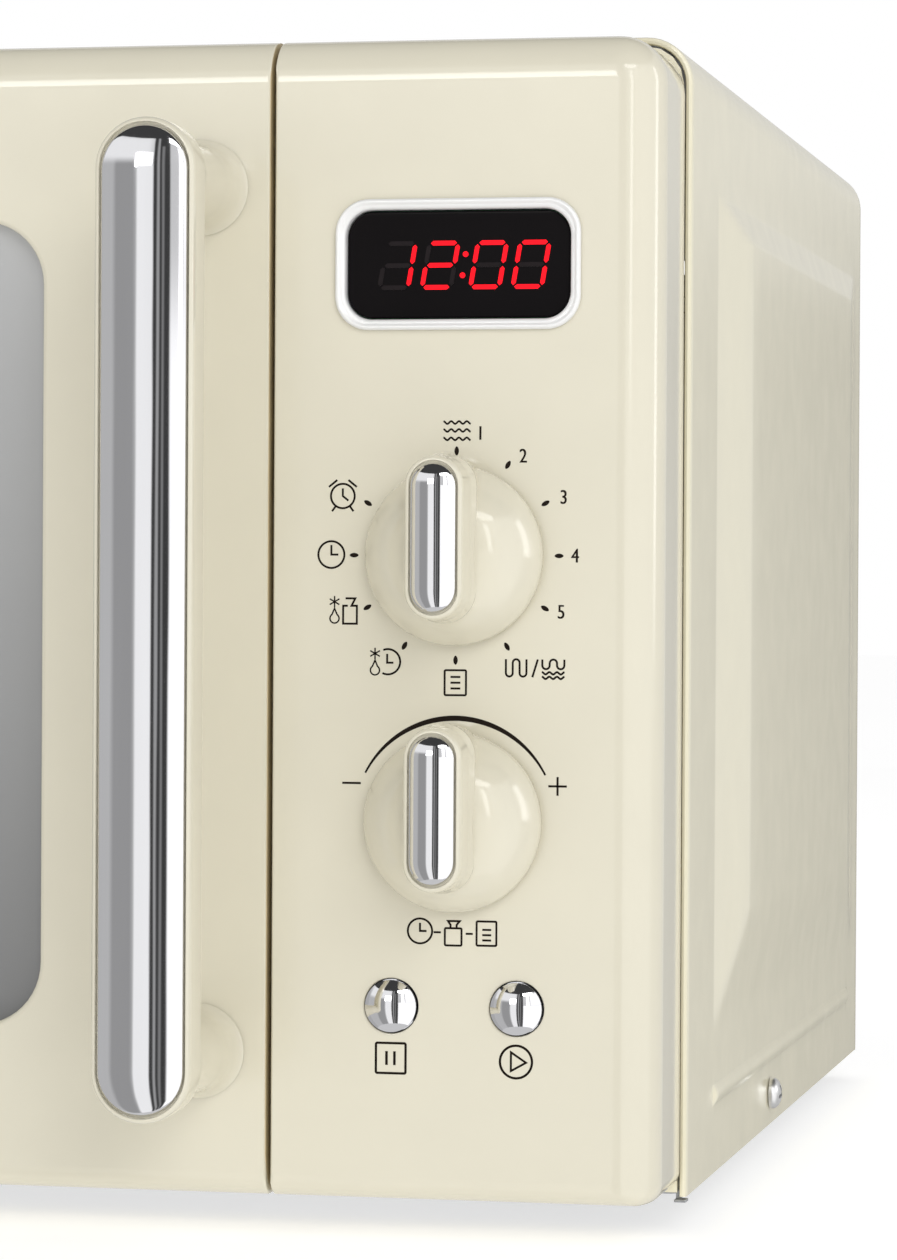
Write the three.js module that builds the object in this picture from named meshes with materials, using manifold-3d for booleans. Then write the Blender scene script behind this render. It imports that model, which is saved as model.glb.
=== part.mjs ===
// Freestanding combination microwave oven: side-hung door with a bar handle, a control column with
// a clock window, two rotary knobs and two push buttons, and a lift-out glass turntable.
// Millimetres, +Z up, the front faces -Y. Sub-assemblies are laid out from the plane of the door's
// front face (y = 0) and the feet's soles (z = 0); the root group then moves the origin to the
// middle of the footprint.
import * as THREE from 'three';
import { mergeVertices } from 'three/addons/utils/BufferGeometryUtils.js';
import Module from 'manifold-3d';

const wasm = await Module();
wasm.setup();

// ---- driving dimensions ----
const GAP = 0.3;                   // clearance between neighbouring pieces
const SHEET = 1.0;                 // folded sheet metal
const FRONT_TO_ORIGIN = -155;      // the front plane's y once the origin sits under the middle
const FOOT = { height: 7.7, radius: 15, x: 180, yFront: 100, yRear: 318 };
const COVER = { x: 217.5, y0: 33, y1: 350, z0: 8, z1: 256, corner: 10, hem: 1.6, hemDepth: 2.2 };
const EMBOSS = { y0: 72, y1: 334, z0: 41, z1: 226, rise: 2.5, front: 41, rear: 28, top: 9, foot: 24 };
const FRONT = { x0: -217, x1: 216.1, z0: 9.6, z1: 253.2, depth: 32, corner: 10, fillet: 9.2, cornerLow: 4,
  filletLow: 5 };
const SPLIT = { door: 133, fascia: 134 };
const WALL = { door: 3, fascia: 2.5 };
const WINDOW = { x0: -179, x1: 83.3, z0: 44.4, z1: 215.4, corner: 13.5 };
const HINGE = { x: -209, y: 20, zUpper: 240, zLower: 22, arm: 8, pin: 3, bore: 3.4 };
const CAVITY = { x0: -201, x1: 105, y0: 34.5, y1: 334, z0: 28, z1: 232, corner: 10 };
const PLATE = { y0: 33, y1: 34.2 };
const KNOB = { x: 173.35, zSelector: 144.7, zAdjust: 89.2, radius: 18.75, dome: 14.4, top: 23.6 };
const GRIP = { width: 12.2, down: 13.4, up: 20.2, inset: 1.35 };
const SHAFT = { radius: 3, front: -16, rear: 15.5, bore: 3.4 };
const DISPLAY = { x: 173.4, z: 205.4, w: 52.2, h: 27.4, corner: 7.2, innerW: 47.8, innerH: 22.9, innerCorner: 5.6 };
const BUTTON = { xPause: 160, xStart: 186.7, z: 50.5, hole: 5.75, cap: 5.3 };
const HANDLE = { x: 118.2, z: 131, width: 20.9, length: 202.8, y0: -45, y1: -33.4, post: 8 };
const HANDLE_INLAY = { width: 18.2, length: 199.6, y0: -46.4, y1: -44.1 };
const HOOK = { x0: 119.5, x1: 123.5, z: [60, 186], height: 8, barb: 4, tip: 50, travel: 4 };
const TURNTABLE = { x: -48, y: 184, tray: 127.5, wheel: 7, track: 95, axis: 35.3 };
const FAN = { x: 164, z: 198, tip: 41, duct: 44, y0: 328, y1: 346 };
const TUBE = { y: 240, z: 170 };    // the magnetron's antenna

// ---- solids ----
function solid(geometry) {
  const bare = geometry.index ? geometry.toNonIndexed() : geometry.clone();
  for (const name of Object.keys(bare.attributes)) if (name !== 'position') bare.deleteAttribute(name);
  const merged = mergeVertices(bare, 1e-4);
  const vertProperties = new Float32Array(merged.attributes.position.array);
  const triVerts = withoutSlivers(merged.index.array);
  if (signedVolume(vertProperties, triVerts) < 0) {
    for (let i = 0; i < triVerts.length; i += 3) {
      [triVerts[i + 1], triVerts[i + 2]] = [triVerts[i + 2], triVerts[i + 1]];
    }
  }
  return new wasm.Manifold(new wasm.Mesh({ numProp: 3, vertProperties, triVerts }));
}

function withoutSlivers(index) {
  const kept = [];
  for (let i = 0; i < index.length; i += 3) {
    const [a, b, c] = [index[i], index[i + 1], index[i + 2]];
    if (a !== b && b !== c && c !== a) kept.push(a, b, c);
  }
  return new Uint32Array(kept);
}

function signedVolume(positions, index) {
  const corner = (i) => new THREE.Vector3().fromArray(positions, 3 * i);
  let sum = 0;
  for (let i = 0; i < index.length; i += 3) {
    sum += corner(index[i]).dot(corner(index[i + 1]).cross(corner(index[i + 2])));
  }
  return sum / 6;
}

function geometryOf(body) {
  const mesh = body.getMesh();
  const geometry = new THREE.BufferGeometry();
  geometry.setAttribute('position', new THREE.BufferAttribute(new Float32Array(mesh.vertProperties), 3));
  geometry.setIndex(new THREE.BufferAttribute(new Uint32Array(mesh.triVerts), 1));
  geometry.computeVertexNormals();
  return geometry;
}

const box = (x0, x1, y0, y1, z0, z1) => solid(new THREE.BoxGeometry(x1 - x0, y1 - y0, z1 - z0)
  .translate((x0 + x1) / 2, (y0 + y1) / 2, (z0 + z1) / 2));

// turned about the line through (0, 0) along the named axis; profile points are [radius, height]
function turned(profile, axis, segments = 20) {
  const points = profile.map(([r, h]) => new THREE.Vector2(r, h));
  const geometry = new THREE.LatheGeometry(points, segments);
  if (axis === 'z') geometry.rotateX(Math.PI / 2);
  if (axis === 'x') geometry.rotateZ(-Math.PI / 2);
  return solid(geometry);
}

const rod = (axis, radius, from, to, segments = 20) =>
  turned([[0, from], [radius, from], [radius, to], [0, to]], axis, segments);

function roundedRect(x0, x1, y0, y1, radius) {
  const shape = new THREE.Shape();
  shape.moveTo(x0 + radius, y0).lineTo(x1 - radius, y0).absarc(x1 - radius, y0 + radius, radius, -Math.PI / 2, 0);
  shape.lineTo(x1, y1 - radius).absarc(x1 - radius, y1 - radius, radius, 0, Math.PI / 2);
  shape.lineTo(x0 + radius, y1).absarc(x0 + radius, y1 - radius, radius, Math.PI / 2, Math.PI);
  shape.lineTo(x0, y0 + radius).absarc(x0 + radius, y0 + radius, radius, Math.PI, 1.5 * Math.PI);
  return shape;
}

function stadium(x, z, width, length) {
  const [radius, reach] = [width / 2, (length - width) / 2];
  const shape = new THREE.Shape();
  shape.absarc(x, z - reach, radius, Math.PI, 2 * Math.PI);
  return shape.absarc(x, z + reach, radius, 0, Math.PI);
}

function extruded(shape, depth, edge = 0, curveSegments = 2) {
  return new THREE.ExtrudeGeometry(shape, {
    depth: depth - 2 * edge, curveSegments, bevelEnabled: edge > 0, bevelThickness: edge,
    bevelSize: edge, bevelOffset: -edge, bevelSegments: edge > 3 ? 3 : 1,
  }).translate(0, 0, edge);
}

// a plan drawn in x and z, thick along y
const plateXZ = (shape, y0, y1, edge = 0, curves = 2) =>
  solid(extruded(shape, y1 - y0, edge, curves).rotateX(Math.PI / 2).translate(0, y1, 0));

// a plan drawn in x and y, thick along z
const plateXY = (shape, z0, z1, curves = 3) => solid(extruded(shape, z1 - z0, 0, curves).translate(0, 0, z0));

const union = (bodies) => bodies.reduce((sum, body) => sum.add(body));

// ---- materials ----
const material = (color, roughness, metalness) => new THREE.MeshStandardMaterial({ color, roughness, metalness });
const CREAM = material(0xe5e0ce, 0.32, 0);
const CREAM_STEEL = material(0xccc7b3, 0.38, 0.1);
const CHROME = material(0xd4d4d2, 0.12, 1);
const SATIN = material(0xb9b7b1, 0.35, 1);
const GALVANISED = material(0xa7a9aa, 0.45, 0.9);
const ENAMEL = material(0xb8b9b6, 0.4, 0.2);
const BLACK_PLASTIC = material(0x1c1c1d, 0.5, 0);
const WHITE_PLASTIC = material(0xe6e5df, 0.5, 0);
const RUBBER = material(0x2a2a2a, 0.85, 0);
const DARK_GLASS = material(0x0c0a0a, 0.08, 0);
const WINDOW_GLASS = material(0xb2b8ba, 0.12, 0);
const CLEAR_GLASS = material(0xd9e6e2, 0.06, 0);
const BOARD = material(0x2f6b3e, 0.55, 0);
const COPPER = material(0xa8622e, 0.4, 0.8);
const MICA = material(0xb9a67c, 0.6, 0);

function part(group, name, body, finish) {
  const mesh = new THREE.Mesh(geometryOf(body), finish);
  mesh.name = name;
  group.add(mesh);
}

// ---- case ----
function coverProfile(x, zTop, radius, z0 = COVER.z0) {
  const shape = new THREE.Shape();
  shape.moveTo(-x, z0).lineTo(x, z0).lineTo(x, zTop - radius).absarc(x - radius, zTop - radius, radius, 0, Math.PI / 2);
  shape.lineTo(-x + radius, zTop).absarc(-x + radius, zTop - radius, radius, Math.PI / 2, Math.PI);
  return shape;
}

// raised side panel with four sloping flanks, as the solid outside plane |x| = from
function embossing(side, from, inset) {
  const e = EMBOSS;
  const foot = [[e.y0 + inset, e.z0 + inset], [e.y1 - inset, e.z1 - inset]];
  const crown = [[e.y0 + e.front, e.z0 + e.foot], [e.y1 - e.rear, e.z1 - e.top]];
  const at = (x, [[ya, za], [yb, zb]]) => [[x, ya, za], [x, yb, za], [x, yb, zb], [x, ya, zb]];
  const corners = [...at(side * from, foot), ...at(side * (from + e.rise), crown)];
  const geometry = new THREE.BufferGeometry();
  geometry.setAttribute('position', new THREE.Float32BufferAttribute(corners.flat(), 3));
  geometry.setIndex([0, 2, 1, 0, 3, 2, 4, 5, 6, 4, 6, 7, 0, 1, 5, 0, 5, 4,
    1, 2, 6, 1, 6, 5, 2, 3, 7, 2, 7, 6, 3, 0, 4, 3, 4, 7]);
  return solid(geometry);
}

function outerCover() {
  const c = COVER;
  const hollow = (wall, y0, y1) => plateXZ(
    coverProfile(c.x - wall, c.z1 - wall, Math.max(c.corner - wall, 1), c.z0 - 5), y0, y1);
  let body = plateXZ(coverProfile(c.x, c.z1, c.corner), c.y0, c.y1)
    .subtract(hollow(SHEET, c.y0 + c.hemDepth, c.y1 - SHEET))
    .subtract(hollow(c.hem, c.y0 - 1, c.y0 + c.hemDepth + 1))
    .subtract(hollow(15, c.y1 - 5, c.y1 + 1));
  for (const side of [-1, 1]) {
    body = body.add(embossing(side, c.x - 0.2, 0)).subtract(embossing(side, c.x - SHEET - 0.2, SHEET));
    body = body.subtract(rod('x', 2.1, -3, 3, 12).translate(side * c.x, 165.8, 15.7));
    body = body.subtract(rod('y', 2.1, -3, 3, 12).translate(side * 150, c.y1, 248));
  }
  for (let i = 0; i < 8; i++) body = body.subtract(box(-c.x - 1, -c.x + 2, 250 + 9 * i, 254 + 9 * i, 20, 34));
  return body;
}

function basePlate() {
  let body = box(-216.2, 216.2, 36, 347.4, 8, 22).subtract(box(-215.2, 215.2, 37, 346.4, 9, 30));
  for (const side of [-1, 1]) body = body.subtract(rod('x', 2.1, -3, 3, 12).translate(side * 215.7, 165.8, 15.7));
  for (let i = 0; i < 9; i++) body = body.subtract(box(120 + 9 * i, 124 + 9 * i, 120, 170, 6, 10));
  return body;
}

function rearPanel() {
  let body = plateXZ(coverProfile(216.2, 254.7, 8, 9.3), 347.7, 348.7)
    .subtract(rod('y', 9.6, 340, 356, 20).translate(150, 0, 32));
  for (const side of [-1, 1]) body = body.subtract(rod('y', 2.1, 340, 356, 12).translate(side * 150, 0, 248));
  for (let i = 0; i < 9; i++) body = body.subtract(box(130, 198, 340, 356, 164 + 8 * i, 168 + 8 * i));
  for (let i = 0; i < 6; i++) body = body.subtract(box(-150, -90, 340, 356, 190 + 8 * i, 194 + 8 * i));
  return body;
}

function frontPlate() {
  const c = CAVITY;
  let body = plateXZ(coverProfile(215.5, 254, 8, 8.9), PLATE.y0, PLATE.y1)
    .subtract(plateXZ(roundedRect(c.x0, c.x1, c.z0, c.z1, c.corner), PLATE.y0 - 1, PLATE.y1 + 1));
  for (const z of HOOK.z) body = body.subtract(box(HOOK.x0 - 2.5, HOOK.x1 + 3, 30, 36, z - 1, z + 17));
  for (const z of [HINGE.zUpper, HINGE.zLower]) body = body.subtract(box(-213.6, -204.4, 30, 36, z - 0.6, z + 2.6));
  return body;
}

// an arm that reaches forward into the door, its pin, and the foot that holds it to the front plate
function hinge(zArm, upward) {
  const half = HINGE.arm / 2;
  const pin = upward ? [zArm + 1, zArm + 8.6] : [zArm - 7.8, zArm + 1];
  const foot = upward ? [zArm - 26, zArm + 2] : [zArm, zArm + 28];
  return union([
    rod('z', half, zArm, zArm + 2).translate(HINGE.x, HINGE.y, 0),
    box(HINGE.x - half, HINGE.x + half, HINGE.y, 36.5, zArm, zArm + 2),
    box(HINGE.x - half, HINGE.x + half, 34.6, 36.5, ...foot),
    rod('z', HINGE.pin, ...pin).translate(HINGE.x, HINGE.y, 0),
  ]);
}

const foot = () => turned([[0, 0], [12.5, 0], [FOOT.radius - 1, 1.2], [FOOT.radius, 6], [FOOT.radius, FOOT.height],
  [0, FOOT.height]], 'z', 16);

const domedScrew = (shank) => turned([[0, -shank], [1.7, -shank], [1.7, 0.3], [3.75, 0.3], [3.6, 1.6], [2.4, 2.8],
  [0, 3.1]], 'y', 12);

function caseAssembly(group) {
  part(group, 'outer_cover', outerCover(), CREAM_STEEL);
  part(group, 'base_plate', basePlate(), GALVANISED);
  part(group, 'rear_panel', rearPanel(), GALVANISED);
  part(group, 'front_plate', frontPlate(), CREAM_STEEL);
  part(group, 'upper_hinge', hinge(HINGE.zUpper, true), GALVANISED);
  part(group, 'lower_hinge', hinge(HINGE.zLower, false), GALVANISED);
  const spots = { front_left: [-1, FOOT.yFront], front_right: [1, FOOT.yFront], rear_left: [-1, FOOT.yRear],
    rear_right: [1, FOOT.yRear] };
  for (const [name, [side, y]] of Object.entries(spots)) {
    part(group, `foot_${name}`, foot().translate(side * FOOT.x, y, 0), RUBBER);
  }
  for (const [name, side] of [['left', -1], ['right', 1]]) {
    const head = domedScrew(6).rotate([0, 0, -90 * side]).translate(side * COVER.x, 165.8, 15.7);
    part(group, `cover_screw_${name}`, head, SATIN);
    part(group, `rear_screw_${name}`, domedScrew(6).translate(side * 150, COVER.y1, 248), SATIN);
  }
  const gland = turned([[5, 344], [9, 344], [9, 349.5], [13, 349.5], [12, 352], [8.5, 356.4], [5, 356.4], [5, 344]], 'y');
  part(group, 'cord_gland', gland.translate(150, 0, 32), BLACK_PLASTIC);
}

// ---- oven cavity ----
function cavityBox() {
  const c = CAVITY;
  const skin = (t) => roundedRect(c.x0 - t, c.x1 + t, c.z0 - t, c.z1 + t, c.corner);
  return plateXZ(skin(SHEET), c.y0, c.y1 + SHEET)
    .subtract(plateXZ(skin(0), c.y0 - 1, c.y1))
    .subtract(rod('z', 7, 20, 40).translate(TURNTABLE.x, TURNTABLE.y, 0))
    .subtract(box(100, 110, 205, 275, 145, 195))
    .subtract(rod('x', 9, 100, 110, 16).translate(0, 300, 205))
    .subtract(box(100, 110, 71, 89, 217, 227));
}

// sheathed heating tube in a hairpin under the cavity's ceiling, both ends out through the right wall
function grillElement() {
  const points = [[112, 75], [60, 75], [-150, 75], [-172, 92], [-172, 276], [-150, 293], [60, 293], [82, 276],
    [82, 102], [90, 85], [112, 85]].map(([x, y]) => new THREE.Vector3(x, y, 222));
  const path = new THREE.CatmullRomCurve3(points, false, 'centripetal');
  const section = new THREE.Shape().absarc(0, 0, 3, 0, 2 * Math.PI);
  return solid(new THREE.ExtrudeGeometry(section, { steps: 48, extrudePath: path, curveSegments: 3 }));
}

function cavityAssembly(group) {
  part(group, 'cavity_box', cavityBox(), ENAMEL);
  part(group, 'waveguide_cover', box(104.1, 104.7, 196, 284, 136, 204), MICA);
  part(group, 'grill_element', grillElement(), GALVANISED);
  const bulb = turned([[0, 108], [8, 108], [8, 112], [6.5, 118], [6.5, 130], [9, 131], [9, 142], [0, 142]], 'x', 16);
  part(group, 'oven_lamp', bulb.translate(0, 300, 205), CLEAR_GLASS);
}

// ---- turntable ----
function driveCoupler() {
  const lobes = [0, 120, 240].map((angle) => box(0, 13, -4, 4, 30, 40).rotate([0, 0, angle]));
  const body = union([rod('z', 3.5, 16.5, 31), rod('z', 9, 28.6, 40), ...lobes]);
  return body.translate(TURNTABLE.x, TURNTABLE.y, 0);
}

function glassTray() {
  const plate = turned([[0, 42.6], [108, 42.6], [124, 49], [127.5, 53], [127.5, 55], [125.4, 55.6], [122, 52.4],
    [107, 46.6], [0, 46.6]], 'z', 40);
  const ribs = [60, 180, 300].map((angle) => box(6, 15, -3.2, 3.2, 40.4, 43).rotate([0, 0, angle]));
  const keys = [60, 180, 300].map((angle) => box(10.5, 15, -3.2, 3.2, 36.5, 41).rotate([0, 0, angle]));
  return union([plate, ...ribs, ...keys]).translate(TURNTABLE.x, TURNTABLE.y, 0);
}

function rollerRing() {
  const ring = turned([[76, 33], [86, 33], [86, 37.6], [76, 37.6], [76, 33]], 'z', 32);
  const axles = [0, 120, 240].map((angle) => rod('x', 2, 84, 100.5, 12).translate(0, 0, TURNTABLE.axis)
    .rotate([0, 0, angle]));
  return union([ring, ...axles]).translate(TURNTABLE.x, TURNTABLE.y, 0);
}

function roller(angle) {
  const { wheel, track, axis } = TURNTABLE;
  const tyre = turned([[2.4, track - 4], [wheel - 0.8, track - 4], [wheel, track - 3], [wheel, track + 3],
    [wheel - 0.8, track + 4], [2.4, track + 4], [2.4, track - 4]], 'x', 16);
  return tyre.translate(0, 0, axis).rotate([0, 0, angle]).translate(TURNTABLE.x, TURNTABLE.y, 0);
}

function turntableAssembly(group) {
  const motor = union([rod('z', 24, 12.7, 26.7), box(-31, 31, -5, 5, 25.2, 26.7)])
    .subtract(rod('z', 3.9, 16, 30)).translate(TURNTABLE.x, TURNTABLE.y, 0);
  part(group, 'turntable_motor', motor, GALVANISED);
  part(group, 'drive_coupler', driveCoupler(), WHITE_PLASTIC);
  part(group, 'glass_tray', glassTray(), CLEAR_GLASS);
  part(group, 'roller_ring', rollerRing(), WHITE_PLASTIC);
  [0, 120, 240].forEach((angle, i) => part(group, `roller_${i + 1}`, roller(angle), WHITE_PLASTIC));
}

// ---- machinery beside the cavity ----
function magnetron() {
  const fins = Array.from({ length: 6 }, (_, i) => box(157 + 8 * i, 158.2 + 8 * i, 206, 274, 144, 196));
  return union([
    rod('x', 18, 150, 208, 12).translate(0, TUBE.y, TUBE.z),
    box(147, 151, 201, 279, 138, 202), box(207, 211, 201, 279, 138, 202), box(147, 211, 201, 279, 136, 140),
    rod('x', 7.5, 120, 149, 16).translate(0, TUBE.y, TUBE.z), box(155, 203, 208, 272, 114, 137), ...fins,
  ]);
}

function waveguide() {
  return box(106.3, 145.5, 198, 282, 134, 206).subtract(box(100, 144, 199.5, 280.5, 135.5, 204.5))
    .subtract(rod('x', 11, 140, 150).translate(0, TUBE.y, TUBE.z));
}

function transformer() {
  const coil = (z0, z1) => plateXY(roundedRect(132, 198, 232, 328, 12), z0, z1, 4);
  return union([box(126, 204, 246, 314, 12, 76), coil(22, 41), coil(48, 66), box(122, 208, 246, 314, 9.3, 12.5)]);
}

function hvCapacitor() {
  const can = plateXY(roundedRect(130, 182, 140, 173, 16), 9.4, 92);
  return union([can, box(142, 145, 153, 160, 91, 101), box(167, 170, 153, 160, 91, 101)]);
}

function fanShroud() {
  const frame = box(114, 212, FAN.y0, FAN.y1, 150, 246)
    .subtract(rod('y', FAN.duct, FAN.y0 - 2, FAN.y1 + 2, 28).translate(FAN.x, 0, FAN.z));
  const arms = [45, 135, 225, 315].map((a) => box(20, 60, 322, 328.5, -3, 3).rotate([0, a, 0]));
  const ring = turned([[19.5, 315], [23, 315], [23, 326], [19.5, 326], [19.5, 315]], 'y', 24);
  return frame.add(union([ring, ...arms]).translate(FAN.x, 0, FAN.z));
}

function fanBlade() {
  const blades = Array.from({ length: 5 }, (_, i) => box(8, FAN.tip, -8, 8, -0.8, 0.8).rotate([32, 0, 0])
    .translate(0, 337, 0).rotate([0, 72 * i, 0]));
  return union([rod('y', 11, 330, 343), rod('y', 2, 306, 331, 12), ...blades]).translate(FAN.x, 0, FAN.z);
}

function machineryAssembly(group) {
  part(group, 'magnetron', magnetron(), GALVANISED);
  part(group, 'waveguide', waveguide(), GALVANISED);
  part(group, 'transformer', transformer(), COPPER);
  part(group, 'hv_capacitor', hvCapacitor(), SATIN);
  part(group, 'fan_shroud', fanShroud(), WHITE_PLASTIC);
  const motor = rod('y', 19, 298, 320).subtract(rod('y', 2.4, 304, 322, 12)).translate(FAN.x, 0, FAN.z);
  part(group, 'fan_motor', motor, GALVANISED);
  part(group, 'fan_blade', fanBlade(), BLACK_PLASTIC);
  const bracket = box(112, 130, 36, 62, 50, 216).subtract(box(114.5, 127.5, 30, 59, 53, 213));
  part(group, 'interlock_bracket', bracket, WHITE_PLASTIC);
  const contact = (z) => box(130.4, 137, 42, 58, z, z + 20).add(box(131.5, 136, 40, 43, z + 13, z + 16));
  part(group, 'primary_switch', contact(186), BLACK_PLASTIC);
  part(group, 'monitor_switch', contact(60), BLACK_PLASTIC);
}

// ---- control column ----
// the door and the control column share one rounded front, its lower edge and lower corners rounded
// less than the others; inset gives its inner skin
function frontBlock(inset) {
  const f = FRONT;
  const [left, right, low] = [f.x0 + inset, f.x1 - inset, f.z0 + inset];
  const upper = roundedRect(left, right, f.z0 - 30, f.z1 - inset, f.corner - inset);
  const lower = roundedRect(left, right, low, f.z1 + 30, Math.max(f.cornerLow - inset, 1));
  const lip = f.filletLow - inset;
  const side = new THREE.Shape();
  side.moveTo(f.depth + 25, low).lineTo(f.depth + 25, f.z1 + 10).lineTo(inset - 1, f.z1 + 10);
  side.lineTo(inset - 1, f.z1).lineTo(inset, f.z1).absarc(inset + lip, low + lip, lip, Math.PI, 1.5 * Math.PI);
  const bar = solid(extruded(side, 450, 0, 4).rotateX(Math.PI / 2).rotateZ(Math.PI / 2).translate(-225, 0, 0));
  return plateXZ(upper, inset, f.depth + 20, f.fillet - inset, 3).intersect(bar)
    .intersect(plateXZ(lower, inset - 1, f.depth + 22, 0, 3));
}

function controlFascia() {
  const f = FRONT;
  const outer = frontBlock(0).intersect(box(SPLIT.fascia, 230, -1, f.depth + 0.6, 0, 260));
  const inner = frontBlock(WALL.fascia).intersect(box(SPLIT.fascia + WALL.fascia, 230, -1, 60, 0, 260));
  const opening = roundedRect(DISPLAY.x - 25.3, DISPLAY.x + 25.3, DISPLAY.z - 12.9, DISPLAY.z + 12.9, 6.4);
  const through = (radius, x, z) => rod('y', radius, -5, 10).translate(x, 0, z);
  const posts = [[144, 226], [204, 226], [144, 24], [204, 24]].map(([x, z]) => rod('y', 3.5, 2, 18.6, 12).translate(x, 0, z));
  return union([outer.subtract(inner), ...posts])
    .subtract(plateXZ(opening, -5, 10))
    .subtract(through(3.7, KNOB.x, KNOB.zSelector)).subtract(through(3.7, KNOB.x, KNOB.zAdjust))
    .subtract(through(BUTTON.hole, BUTTON.xPause, BUTTON.z)).subtract(through(BUTTON.hole, BUTTON.xStart, BUTTON.z));
}

function displayBezel() {
  const d = DISPLAY;
  const frame = (w, h, r) => roundedRect(d.x - w / 2, d.x + w / 2, d.z - h / 2, d.z + h / 2, r);
  return plateXZ(frame(d.w, d.h, d.corner), -1.3, -GAP).add(plateXZ(frame(50, 25.2, 6.1), -1, 2.9))
    .subtract(plateXZ(frame(d.innerW, d.innerH, d.innerCorner), -3, 5));
}

function controlBoard() {
  return union([
    box(139, 211, 19, 20.6, 18, 236), box(148, 199, 3.4, 11, 190, 221), box(160, 188, 10, 19.5, 198, 212),
    box(146, 164, 20, 30, 110, 132), box(176, 200, 20, 31, 60, 84), rod('y', 6, 20, 31, 12).translate(190, 0, 120),
  ]);
}

function encoder(z) {
  return box(KNOB.x - 10, KNOB.x + 10, 9.5, 18.7, z - 11, z + 11).add(rod('y', 4.9, 3.2, 10, 16).translate(KNOB.x, 0, z))
    .subtract(rod('y', SHAFT.bore, 2, 16.5, 16).translate(KNOB.x, 0, z));
}

// domed skirt, a grip bar standing on it and the recess that takes the bright inlay
function knob(z) {
  const heights = [[0, 0.5], [18.2, 0.5], [KNOB.radius, 1.2], [KNOB.radius, 4], [18.2, 7.5], [16.5, 10.5], [13, 12.8],
    [8, 14], [0, KNOB.dome]];
  const skirt = turned(heights.map(([r, h]) => [r, -h]), 'y', 32);
  const bar = stadium(0, (GRIP.up - GRIP.down) / 2, GRIP.width, GRIP.up + GRIP.down);
  return skirt.add(plateXZ(bar, -KNOB.top, -3, 1, 4))
    .subtract(plateXZ(inlayPlan(0.3), -KNOB.top - 1, -KNOB.top + 0.9, 0, 4))
    .subtract(rod('y', SHAFT.bore, SHAFT.front - GAP, 2, 16))
    .translate(KNOB.x, 0, z);
}

const inlayPlan = (grow) => stadium(0, (GRIP.up - GRIP.down) / 2, GRIP.width - 2 * GRIP.inset + 2 * grow,
  GRIP.up + GRIP.down - 2.4 * GRIP.inset + 2 * grow);

const knobInlay = (z) => plateXZ(inlayPlan(0), -KNOB.top - 1.7, -KNOB.top + 0.6, 0.5, 4).translate(KNOB.x, 0, z);

const knobShaft = (z) => rod('y', SHAFT.radius, SHAFT.front, SHAFT.rear, 16).translate(KNOB.x, 0, z);

const pushButton = (x) => turned([[0, -2.6], [2.6, -2.3], [4.6, -1.2], [BUTTON.cap, 0], [BUTTON.cap, 2.9], [7.2, 2.9],
  [7.2, 4.2], [2, 4.2], [2, 14.2], [0, 14.2]], 'y', 20).translate(x, 0, BUTTON.z);

function controlsAssembly(group) {
  part(group, 'control_fascia', controlFascia(), CREAM);
  part(group, 'display_bezel', displayBezel(), SATIN);
  const lens = roundedRect(DISPLAY.x - 23.6, DISPLAY.x + 23.6, DISPLAY.z - 11.1, DISPLAY.z + 11.1, 5.3);
  part(group, 'display_lens', plateXZ(lens, 0.9, 2.6), DARK_GLASS);
  part(group, 'control_board', controlBoard(), BOARD);
  for (const [name, z] of [['selector', KNOB.zSelector], ['adjust', KNOB.zAdjust]]) {
    part(group, `${name}_encoder`, encoder(z), SATIN);
    part(group, `${name}_knob`, knob(z), CREAM);
    part(group, `${name}_inlay`, knobInlay(z), CHROME);
    part(group, `${name}_shaft`, knobShaft(z), SATIN);
  }
  for (const [name, x] of [['pause', BUTTON.xPause], ['start', BUTTON.xStart]]) {
    part(group, `${name}_button`, pushButton(x), CHROME);
    part(group, `${name}_switch`, box(x - 5, x + 5, 16.2, 18.7, BUTTON.z - 5, BUTTON.z + 5), BLACK_PLASTIC);
  }
}

// ---- door ----
// the shell's plan from above: its rear hinge corner is rounded so that it can swing past the case
function doorPlan() {
  const [x0, x1, y1, r] = [FRONT.x0 - 1, SPLIT.door, FRONT.depth, 6];
  const shape = new THREE.Shape();
  shape.moveTo(x0, -1).lineTo(x1, -1).lineTo(x1, y1).lineTo(x0 + 1 + r, y1);
  shape.absarc(x0 + 1 + r, y1 - r, r, Math.PI / 2, Math.PI);
  return shape.lineTo(x0, y1 - r);
}

function doorFrame() {
  const w = WINDOW;
  const outer = frontBlock(0).intersect(plateXY(doorPlan(), 0, 260));
  const inner = frontBlock(WALL.door).intersect(box(-204, SPLIT.door - WALL.door, -1, 60, 0, 260));
  let body = outer.subtract(inner).subtract(plateXZ(roundedRect(w.x0, w.x1, w.z0, w.z1, w.corner), -5, 10));
  for (const z of [HINGE.zUpper, HINGE.zLower]) body = body.subtract(box(-225, -203, 12, 40, z - 1.5, z + 3.5));
  const bore = (z0, z1) => rod('z', HINGE.bore, z0, z1, 20).translate(HINGE.x, HINGE.y, 0);
  return body.subtract(bore(HINGE.zUpper, 249.5)).subtract(bore(13, HINGE.zLower));
}

function doorInnerPanel() {
  const w = WINDOW;
  const shell = box(-202, 112, 19, 28.6, 20, 243).subtract(box(-200.8, 110.8, 15, 27.4, 21.2, 241.8));
  const rim = plateXZ(roundedRect(w.x0 - 8, w.x1 + 8, w.z0 - 8, w.z1 + 8, 10), 22, 28)
    .subtract(plateXZ(roundedRect(w.x0 - 6.8, w.x1 + 6.8, w.z0 - 6.8, w.z1 + 6.8, 9), 20, 27.4));
  return shell.add(rim);
}

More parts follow.
